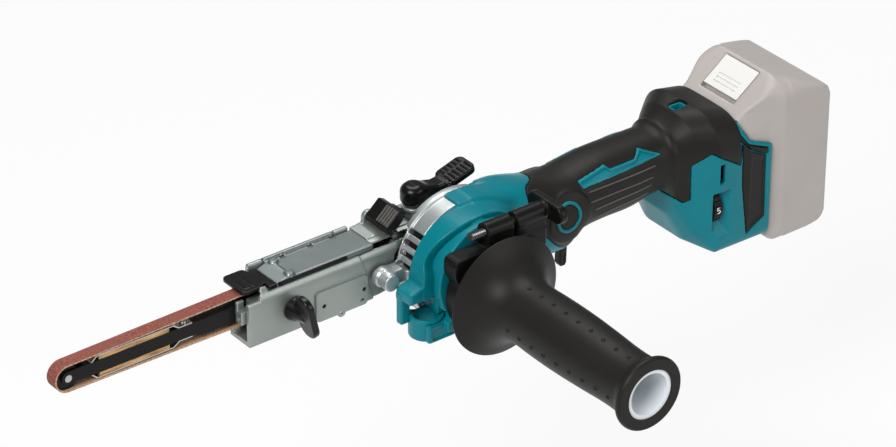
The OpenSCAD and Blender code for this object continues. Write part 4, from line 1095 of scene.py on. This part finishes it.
def lid(p):
    """Lid with a sloping front that rises to an ear at each end, hinged along its far edge."""
    x, y, z = p
    body = extruded(polygon(x, z, LID_SIDE), y, LID_Y0, LID_FAR, 0.6)
    for ear_y in (LID_Y0 + LID_EAR_R, LID_FAR - LID_EAR_R):
        body = join(body, rod_z(p, LID_EAR_X, ear_y, 24, HOUSE_TOP + 2.0, LID_EAR_R, 0.9), 1.0)
    low = (LID_KNUCKLE_X[0], HINGE[0] - 2.6, LID_Z0 + 1)
    high = (LID_KNUCKLE_X[1], HINGE[0], HINGE[1] + 1)
    body = either(body, block(p, low, high, 0.3), rod_x(p, *HINGE, *LID_KNUCKLE_X, HINGE_R, 0.3))
    for notch in NOTCHES:
        low, high = (notch, LID_FAR - 1.6, HOUSE_TOP - 0.8), (notch + 3, LID_FAR + 1, HOUSE_TOP + 3)
        body = cut(body, block(p, low, high), 0.3)
    hollow = block(p, (LID_X[0] + 6, LID_Y0 + 3, LID_Z0 - 1), (LID_X[1] + 1, HINGE[0] - 5, 22.9))
    return without(body, rod_x(p, *HINGE, *LID_X, HINGE_BORE), hollow)


covering("lid_cover", "housing_lid", lid, 1.5, 2.5, 0.6, LID_METAL, "lid")


def holder_nose(p):
    """Front end of the arm's holder beside the bar, with a post that reaches up to the belt."""
    body = block(p, (-147, TUNNEL_Y[0] + CLEAR, 4.6), (-138.9, 8.3, 13.2), 0.6)
    body = join(body, block(p, (-147, 6.2, 10), (-142, 8.3, 18.6), 0.6), 0.5)
    return cut(body, rod_x(p, 4.6, 8.2, -148, -145.6, 1.1), 0.3)


field_piece("holder_nose", holder_nose, (-149, 0, 3), (-137, 10, 20), 0.4, CAST, "arm_bar",
            slot="cast_aluminium")


def lid_dark_strip(p):
    """Thin dark strip along the lid's near edge."""
    x, y, z = p
    lip = rectangle(x, z, (-121.4, LID_Z0 + 0.2), (-71, HOUSE_TOP - 0.4), 1.5)
    return extruded(lip, y, LID_Y0 - 0.35, LID_Y0 + 0.4, 0.15)


TAB_X = (-143.6, -121.8)
TAB_TOP = 24.9
TAB_MARK = [((-140, 8), (-139.1, 18)), ((-134.4, 8), (-133.5, 18)), ((-140, 8), (-136.6, 8.9))]


def tab(p):
    """Thumb tab with a raised mark, hooked over the lid's near edge."""
    x, y, z = p
    plate = rectangle(x, y, (TAB_X[0], TAB_Y0), (LID_X[0], HOUSE_Y[1]), 3)
    body = either(
        extruded(plate, z, LID_Z0 - 0.1, TAB_TOP, 0.5),
        block(p, (LID_X[0] - 3, TAB_Y0 + 2.5, 23.3), (TAB_X[1], LID_FAR, TAB_TOP), 0.4),
        block(p, (LID_X[0] + 0.4, LID_Y0 - 0.3, LID_Z0 + 0.4), (TAB_X[1], TAB_Y0 + 4, TAB_TOP + 0.3), 0.4))
    for low, high in TAB_MARK:
        body = join(body, block(p, (*low, TAB_TOP - 1), (*high, TAB_TOP + 0.6), 0.3), 0.3)
    return body


field_piece("thumb_tab", tab, (-146, -1, 20), (-119, 29, 28), 0.5, GLOSS_BLACK, "lid", ["lid_tab"])
field_piece("lid_dark_strip", lid_dark_strip, (-123, -1, 21), (-69, 3, 28), 0.4, BLACK, "lid", slot="black_plastic")

# Wing knob

KNOB_ROOT = HOUSE_Y[0] - CLEAR
KNOB_R = 8.0
KNOB_DEPTH = 12.0
KNOB_TAPER = 4.4
CONE_SCALE = 0.94
WING_HALF = (14.4, 2.25)


def knob(p):
    """Cone with a rounded wing through it."""
    x, y, z = p
    cone = (disc(x, z, KNOB, KNOB_R) - (y - KNOB_ROOT) * KNOB_TAPER / KNOB_DEPTH) * CONE_SCALE
    body = slab(cone, both(y - KNOB_ROOT, KNOB_ROOT - KNOB_DEPTH - y), 0.8)
    q = turned(p, "Y", KNOB_TURN, (KNOB[0], 0, KNOB[1]))
    wing = rectangle(q[1], q[2], (KNOB_ROOT - 20, -WING_HALF[0]), (KNOB_ROOT - 5, WING_HALF[0]), 7)
    body = join(body, extruded(wing, q[0], -WING_HALF[1], WING_HALF[1], 1.2), 1.6)
    return without(body, rod_y(p, *KNOB, KNOB_ROOT - 10, KNOB_ROOT + 2, 2.5))


covering("clamp_knob", "wing_knob", knob, (1.5, 5, 2), (1.5, 1.5, 2), 0.5, GLOSS_BLACK, "knob")

# Tension lever: side views are drawn about its pin

SLACK_SIDE = [(-2.7, 0), (-3, 3), (6.5, 11.5), (10.5, 9.5), (8, 5), (2.7, 0)]
SLACK_RIB = [(-2.4, 3), (-3.4, 4.6), (4.9, 12.0), (6.9, 11.4)]
SLACK_SPLIT = 14.2
SLACK_RIBS = 5
# How far outside the lever's outline a face's middle lies to get the painted rib highlight
RIB_HIGHLIGHT_OUTSIDE = 0.75


def slack(p):
    """Tension lever: a leaning slab, plain on its far side and ribbed on its raised near side."""
    x, y, z = p
    u, v = x - LEVER[0], z - LEVER[1]
    shape = polygon(u, v, SLACK_SIDE)
    raised = extruded(shape - 0.6, y, LEVER_Y[0], SLACK_SPLIT, 0.5)
    body = either(extruded(shape, y, *LEVER_Y, 0.6), raised)
    pitch = (SLACK_SPLIT - LEVER_Y[0] - 1.0) / SLACK_RIBS
    for i in range(SLACK_RIBS):
        start = LEVER_Y[0] + 0.9 + i * pitch
        body = join(body, extruded(polygon(u, v, SLACK_RIB), y, start, start + 1.2, 0.4), 0.4)
    body = join(body, rod_y(p, *LEVER, HOUSE_Y[0] + 0.3, LEVER_Y[1], 2.7, 0.5), 0.5)
    return without(body, rod_y(p, *LEVER, HOUSE_Y[0] + 0.5, 40, 1.55))


slack_slab = covering("slack_lever_slab", "tension_lever", slack, (1.5, 5, 1.5), 1.5, 0.45, BLACK,
                      "slack_lever")
# Painted highlight: the raised rib faces of the black lever take the lighter grey finish, standing in for
# light caught on the ribs.
second_finish(slack_slab, RIB_GREY_AND_HIGHLIGHT, lambda middle: polygon(
    middle[:, 0] - LEVER[0], middle[:, 2] - LEVER[1], SLACK_SIDE) > RIB_HIGHLIGHT_OUTSIDE)

# Lock lever

PAD_RISE = 17.0
PAD_AT = (17.0, 24.0, 31.5)
PAD_LOW, PAD_HIGH = (0, -8.5), (22, 8.5)
LOCK_NECK = [(-4, 29), (-4, 38.6), (4, 37.4), (11, 35.6), (24, 36.8), (24, 34.6), (12, 30), (4, 28)]
NECK_HALF = 5.6
RIB_PITCH = 3.2
RIB_WIDTH = 1.1
RIB_Z = (4.0, 5.4)
# Rows of ribs on the pad: their number, the first one's place and their two ends across it
RIB_ROWS = [(6, 2.6, -7.7, 0), (5, 4.2, 1.4, 6.9)]


def lock(p):
    """Lock lever: a domed boss over the bolt, a curved neck and a ribbed thumb pad that rises to the rear."""
    x, y, z = p
    body = rod_z(p, *LEVER_BOLT, LEVER_SEAT + CLEAR, 40, 8.1, 5.0)
    neck = extruded(polygon(x, z, LOCK_NECK), y, LEVER_BOLT[1] - NECK_HALF, LEVER_BOLT[1] + NECK_HALF, 1.8)
    body = join(body, neck, 3)
    q = turned(p, "Y", -PAD_RISE, PAD_AT)
    pad = extruded(rectangle(q[0], q[1], PAD_LOW, PAD_HIGH, 4.5), q[2], 0, 4.6, 1.1)
    for count, first, start, end in RIB_ROWS:
        for i in range(count):
            at = first + i * RIB_PITCH
            pad = join(pad, block(q, (at, start, RIB_Z[0]), (at + RIB_WIDTH, end, RIB_Z[1]), 0.5), 0.3)
    return without(join(body, pad, 1.5), rod_z(p, *LEVER_BOLT, 20, 36, BOLT_BORE))


covering("lock_pad", "lock_lever", lock, 4, 4, 0.5, GLOSS_BLACK, "swing_lock")

# Abrasive belt: grit outside, pale cloth inside and at the cut edges

BELT_T = 1.0
BELT_HALF = 4.5
TIP = (-262.5, 11.0)
TIP_R = 8.0
DRIVE_R = 11.0
ARC_STEPS = 40


def belt():
    """Loop round the tip roller and the drive wheel, as four rings of points."""
    lean = math.asin((DRIVE_R - TIP_R) / (PIVOT[0] - TIP[0]))
    half_turn = np.linspace(0, 1, ARC_STEPS)
    tip_angle = math.pi / 2 + lean + half_turn * (math.pi - 2 * lean)
    drive_angle = -math.pi / 2 - lean + half_turn * (math.pi + 2 * lean)
    points = []
    for out, y in ((BELT_T, -BELT_HALF), (BELT_T, BELT_HALF), (0, BELT_HALF), (0, -BELT_HALF)):
        for middle, r, angles in ((TIP, TIP_R, tip_angle), (PIVOT, DRIVE_R, drive_angle)):
            points += [(middle[0] + (r + out) * math.cos(a), ARM_Y + y, middle[1] + (r + out) * math.sin(a))
                       for a in angles]
    count = 2 * ARC_STEPS
    faces = strips(4, count, closed=True)
    piece = mesh_piece("grit_belt", points, faces, GRIT, "arm_unit", ["abrasive_belt"])
    piece.data.materials.append(BACKING)
    piece.data.polygons.foreach_set("material_index", [0] * count + [1] * (3 * count))
    shade_smooth(piece)


belt()

# Side handle: clamp hub, lathe-turned grip with a guard disc and rows of small studs

RING_Y = (-53.0, -41.0)
BARREL = (-47.0, 40.5)
BARREL_R = 6.0
BARREL_X = (-7.0, 36.0)
BARREL_FOOT = 20.0
HUB_TOP = 31.5
HUB_R = 30.5
TUBE_R = 16.0
GRIP_END = -193.5
HUB_BAR = [(-27, 12), (-31, 18), (-32, 22), (-32, HUB_TOP - 4), (-31, HUB_TOP - 1.2), (-28, HUB_TOP),
           (36, HUB_TOP), (36, 20), (27, 12), (0, 0)]
CLAMP_SLOT = ((12, RING_Y[0] - 0.5, 20), (15, RING_Y[1] + 1, 60))


def hub(p):
    """Clamp ring with a bar, a split barrel for the bolt and a spigot for the grip."""
    x, y, z = p
    ring = rod_y(p, 0, 0, RING_Y[0] - 5, RING_Y[1], HUB_R, 0.8)
    body = join(ring, extruded(polygon(x, z, HUB_BAR), y, *RING_Y, 0.9), 1.5)
    low = (BARREL_X[0], BARREL[0] - BARREL_R + 0.5, BARREL_FOOT)
    high = (BARREL_X[1], BARREL[0] + BARREL_R - 0.5, BARREL[1])
    barrel = either(rod_x(p, *BARREL, *BARREL_X, BARREL_R, 0.6), block(p, low, high, 0.6))
    body = either(join(body, barrel, 2), rod_y(p, 0, 0, RING_Y[0] - 18, RING_Y[0] - 4, TUBE_R - 2.6))
    body = without(body, rod_y(p, 0, 0, -54.4, RING_Y[1] + 1, COLLAR_R + 0.05))
    body = cut(body, block(p, *CLAMP_SLOT), 0.4)
    return cut(body, rod_x(p, *BARREL, -10, 40, 3.05), 0.4)


covering("clamp_hub", "side_handle_hub", hub, 1.5, 1.5, 0.7, BLACK, "side_handle")

# Grip radius at distances from its free end
GRIP_D = [0, 0.5, 1.4, 3.2, 4.6, 6.4, 9, 14, 24, 45, 70, 95, 106, 113, 119, 124, 128, 131, 133, 134.2]
GRIP_R = [22.4, 23, 23.4, 23.4, 22.8, 21, 19.6, 18.8, 18.6, 19.6, 20.5, 20.4, 20.1, 20.6, 22.6, 25.8, 29.6,
          33.6, 37.2, 39]
GUARD_EDGE = [(-58.6, 39.0), (-58.2, 38.7), (-58.0, 38.2), (-58.0, TUBE_R + 0.02), (GRIP_END, TUBE_R + 0.02)]
LATHE_SIDES = 96
STUD_FIRST = -87.0
STUD_PITCH = 11.3
STUD_COUNT = 9
STUD_R = 1.5
STUD_SUNK = 0.5
STUD_ANGLES = [10, 100, 188, 280]
STUD_RINGS = 5
STUD_SIDES = 12


def round_angles(count):
    """Angles of that many points round a circle."""
    return [2 * math.pi * i / count for i in range(count)]


def lathe(name, outline, place, material, body, replaced):
    """Piece turned about an axis: outline is (along, radius), place gives a point from those and an angle."""
    points = [place(along, radius, a) for along, radius in outline for a in round_angles(LATHE_SIDES)]
    faces = strips(len(outline), LATHE_SIDES, closed=True)
    shade_smooth(mesh_piece(name, points, faces, material, body, replaced))


def about_handle(along, radius, angle):
    """Point about the side handle's axis."""
    return (radius * math.cos(angle), along, radius * math.sin(angle))


def about_barrel(along, radius, angle):
    """Point about the clamp bolt's axis."""
    return (along, BARREL[0] + radius * math.sin(angle), BARREL[1] + radius * math.cos(angle))


grip_places = np.concatenate([np.linspace(0, 14, 15), np.linspace(20, 106, 20), np.linspace(109, 134.2, 18)])
grip_outline = [(GRIP_END + d, float(r)) for d, r in zip(grip_places, curve(grip_places, GRIP_D, GRIP_R))]
lathe("turned_grip", grip_outline + GUARD_EDGE, about_handle, SOFT, "side_handle", ["side_handle_grip"])


def studs():
    """Rows of small domes along the grip."""
    points, faces = [], []
    for a in np.radians(STUD_ANGLES):
        for i in range(STUD_COUNT):
            along = STUD_FIRST - i * STUD_PITCH
            foot_r = float(curve(np.array(along - GRIP_END), GRIP_D, GRIP_R)) - STUD_SUNK
            faces += strips(STUD_RINGS + 1, STUD_SIDES, len(points))
            for k in range(STUD_RINGS + 1):
                tilt = math.pi / 2 * k / STUD_RINGS
                across, flat = foot_r + STUD_R * math.sin(tilt), STUD_R * math.cos(tilt)
                for t in round_angles(STUD_SIDES):
                    beside = flat * math.cos(t)
                    points.append((across * math.cos(a) - beside * math.sin(a), along + flat * math.sin(t),
                                   across * math.sin(a) + beside * math.cos(a)))
    mesh_piece("grip_studs", points, faces, SOFT, "side_handle", slot="soft_grip")


studs()

# Clamp bolt and its wing

BOLT_X = (-17.0, 42.0)
BOLT_R = 3.0
BOLT_CORE = 0.3
THREAD_PITCH = 1.25
THREAD_DEPTH = 0.45
thread = [(BOLT_X[0] + 0.4 + i * THREAD_PITCH / 2, BOLT_R - THREAD_DEPTH * (i % 2)) for i in range(18)]
bolt_outline = [(BOLT_X[0], BOLT_CORE), (BOLT_X[0], 2.4), *thread, (BARREL_X[0] + 1, BOLT_R),
                (BOLT_X[1], BOLT_R), (BOLT_X[1], BOLT_CORE)]
lathe("threaded_bolt", bolt_outline, about_barrel, BOLT_STEEL, "handle_clamp", ["clamp_bolt"])

LOBE_R = 6.0
LOBE_REACH = 10.6
LOBE_X = (38.6, 44.5)


def wing(p):
    """Wing of the clamp: a boss and two rounded lobes."""
    x, y, z = p
    reach = np.abs(y - BARREL[0])
    lobes = np.hypot(np.maximum(reach - LOBE_REACH, 0), z - BARREL[1]) - LOBE_R
    body = join(extruded(lobes, x, *LOBE_X, 1.5), rod_x(p, *BARREL, 36.4, BOLT_X[1], 5.2, 0.6), 1.5)
    return without(body, rod_x(p, *BARREL, 30, BOLT_X[1], BOLT_R))


covering("clamp_lobes", "clamp_wing", wing, 1.5, 1.5, 0.5, BLACK, "handle_clamp")

# Beads: fine ribs and the cap's ring on the near flank of the main handle, and the dial's number

BEAD_SIDES = 8
BEAD_TIP = 0.3
RIBS = [((95.5, 18.4), (149.8, 18.4)), ((95.7, 11.8), (147.5, 11.6)), ((99.4, 5.3), (146.0, 6.6)),
        ((102.7, -1.2), (144.3, 1.2))]
RIB_POINTS = 28
RIB_R = 0.5
RING_R = 8.8
RING_BEAD = 1.15
RING_RISE = 1.5
BEAD_RISE = 0.05
NUMBER = [(1.2, 2.0), (-1.0, 2.0), (-1.1, 0.3), (0.3, 0.4), (1.2, -0.5), (0.5, -1.8), (-1.2, -1.6)]
NUMBER_R = 0.35


def bead_piece(name, paths, r, material, body, slot):
    """Round beads along paths, as one piece."""
    points, faces = [], []
    for path in paths:
        path = [Vector(place) for place in path]
        first = len(points)
        for i, place in enumerate(path):
            ahead = (path[min(i + 1, len(path) - 1)] - path[max(i - 1, 0)]).normalized()
            side = ahead.cross(Vector((0, 1, 0))).normalized()
            up = side.cross(ahead)
            size = r if 0 < i < len(path) - 1 else r * BEAD_TIP
            for t in round_angles(BEAD_SIDES):
                points.append(tuple(place + size * (math.cos(t) * side + math.sin(t) * up)))
        last = len(points) - BEAD_SIDES
        faces += strips(len(path), BEAD_SIDES, first)
        faces.append(tuple(range(first + BEAD_SIDES - 1, first - 1, -1)))
        faces.append(tuple(range(last, last + BEAD_SIDES)))
    mesh_piece(name, points, faces, material, body, slot=slot)


def on_flank(xs, zs, rise):
    """Path that much over the handle's near flank."""
    return list(zip(xs, near_side(xs, zs) - rise, zs))


rib_paths = [on_flank(np.linspace(x0, x1, RIB_POINTS), np.linspace(z0, z1, RIB_POINTS), BEAD_RISE)
             for (x0, z0), (x1, z1) in RIBS]
bead_piece("handle_ribs", rib_paths, RIB_R, RIB_GREY_AND_HIGHLIGHT, "tool_body", "soft_grip")
ring_angles = np.radians(np.linspace(-178, 178, 80))
ring_x = RING_AT[0] + RING_R * np.cos(ring_angles)
ring_z = RING_AT[1] + RING_R * np.sin(ring_angles)
ring_path = on_flank(ring_x, ring_z, RING_RISE)
bead_piece("cap_ring", [ring_path], RING_BEAD, TEAL, "tool_body", "teal_plastic")

# Tension spring: a coil, which on the real tool shortens as the holder slides back

SPRING_TURNS = 8
SPRING_WIRE_R = 0.6
SPRING_SIDES = 8
RINGS_PER_TURN = 16


def coil():
    """The coil's rings of points, from its moving end to its fixed end."""
    low, high = drawn_box("tension_spring")
    middle = (low + high) / 2
    coil_r = (high[2] - low[2]) / 2 - SPRING_WIRE_R
    rings = SPRING_TURNS * RINGS_PER_TURN
    points = []
    for i in range(rings + 1):
        turn = 2 * math.pi * i / RINGS_PER_TURN
        along = low[0] + SPRING_WIRE_R + (high[0] - low[0] - 2 * SPRING_WIRE_R) * i / rings
        for t in round_angles(SPRING_SIDES):
            out = coil_r + SPRING_WIRE_R * math.cos(t)
            points.append((along + SPRING_WIRE_R * math.sin(t),
                           middle[1] + out * math.cos(turn), middle[2] + out * math.sin(turn)))
    faces = [(a, d, c, b) for a, b, c, d in strips(rings + 1, SPRING_SIDES)]
    faces.append(tuple(range(SPRING_SIDES)))
    faces.append(tuple(range(len(points) - 1, len(points) - 1 - SPRING_SIDES, -1)))
    piece = mesh_piece("tension_coil", points, faces, STEEL, "arm_unit", ["tension_spring"])
    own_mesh(piece)


coil()

# Number on the speed dial: a bead on the wheel's near side

dial_low, dial_high = drawn_box("speed_dial")
dial_x, dial_y, dial_z = (dial_low + dial_high) / 2
dial_r = (dial_high[2] - dial_low[2]) / 2
number_path = [(dial_x + u, dial_y - math.sqrt(dial_r ** 2 - v ** 2) - BEAD_RISE, dial_z + v)
               for u, v in NUMBER]
bead_piece("dial_number", [number_path], NUMBER_R, WHITE, "dial", "white_plastic")

# Stage: a floor below the reach of the arm at the limit of its swing, the world, lamps and the camera

FLOOR_DROP = 0.17
FLOOR_HALF = 6.0
FLOOR_GREY = (0.8, 0.8, 0.8, 1.0)
FLOOR_GLOW = 0.8
FLOOR_ROUGH = 0.9
WORLD_STRENGTH = 0.2

floor_mesh = bpy.data.meshes.new("floor")
floor_corners = [(FLOOR_HALF * u, FLOOR_HALF * v, 0) for u, v in ((-1, -1), (1, -1), (1, 1), (-1, 1))]
floor_mesh.from_pydata(floor_corners, [], [(0, 1, 2, 3)])
floor = placed("floor", floor_mesh)
floor.location.z = cad_low.z - FLOOR_DROP


def floor_finish():
    """White floor that is seen nearly as bright as the background and keeps a soft shadow."""
    n = Nodes("floor")
    fill(n.shader, Base_Color=FLOOR_GREY, Roughness=FLOOR_ROUGH)
    glow = n.add("ShaderNodeEmission")
    path = n.add("ShaderNodeLightPath")
    seen = n.add("ShaderNodeMath", operation="MAXIMUM")
    n.link(path.outputs["Is Camera Ray"], seen.inputs[0])
    n.link(path.outputs["Is Glossy Ray"], seen.inputs[1])
    share = n.add("ShaderNodeMath", operation="MULTIPLY")
    share.inputs[1].default_value = FLOOR_GLOW
    n.link(seen.outputs[0], share.inputs[0])
    mix = n.add("ShaderNodeMixShader")
    n.link(share.outputs[0], mix.inputs["Fac"])
    n.link(n.shader.outputs[0], mix.inputs[1])
    n.link(glow.outputs[0], mix.inputs[2])
    n.link(mix.outputs[0], n.tree.nodes["Material Output"].inputs["Surface"])
    return n.material


floor_mesh.materials.append(floor_finish())

world = bpy.data.worlds.new("studio")
world.use_nodes = True
fill(world.node_tree.nodes["Background"], Color=(1.0, 1.0, 1.0, 1.0), Strength=WORLD_STRENGTH)
bpy.context.scene.world = world

centre = (cad_low + cad_high) / 2


def lamp(name, place, size, power):
    """Soft square lamp that looks at the middle of the object."""
    light = bpy.data.lights.new(name, "AREA")
    light.size = size
    light.energy = power
    thing = placed(name, light)
    thing.location = centre + Vector(place)
    thing.rotation_mode = "QUATERNION"
    thing.rotation_quaternion = (-Vector(place)).to_track_quat("-Z", "Y")


lamp("key", (-1.5, -0.6, 1.6), 1.1, 44.0)
lamp("top", (0.5, 0.9, 2.0), 1.4, 30.0)
lamp("front", (0.9, -1.8, 0.9), 1.2, 14.0)

# Camera at the photograph's place: azimuth and elevation of the view, and the lens

AZIMUTH = math.radians(-37.5)
ELEVATION = math.radians(31.0)
FOCAL_PIXELS = 4000.0
IMAGE_WIDTH = 896.0
SENSOR_WIDTH = 36.0
CAMERA_PLACE = (-1249.6, -1632.5, 1257.1)
right = Vector((math.cos(AZIMUTH), math.sin(AZIMUTH), 0))
back = Vector((
    math.sin(AZIMUTH) * math.cos(ELEVATION), -math.cos(AZIMUTH) * math.cos(ELEVATION), math.sin(ELEVATION)))
camera_data = bpy.data.cameras.new("camera")
camera_data.sensor_fit = "HORIZONTAL"
camera_data.sensor_width = SENSOR_WIDTH
camera_data.lens = SENSOR_WIDTH * FOCAL_PIXELS / IMAGE_WIDTH
camera = placed("camera", camera_data)
camera.rotation_mode = "QUATERNION"
camera.rotation_quaternion = Matrix((right, back.cross(right), back)).transposed().to_quaternion()
camera.location = Vector(np.array(CAMERA_PLACE) * MM + ORIGIN)
bpy.context.scene.camera = camera
bpy.context.scene.view_settings.view_transform = "Standard"
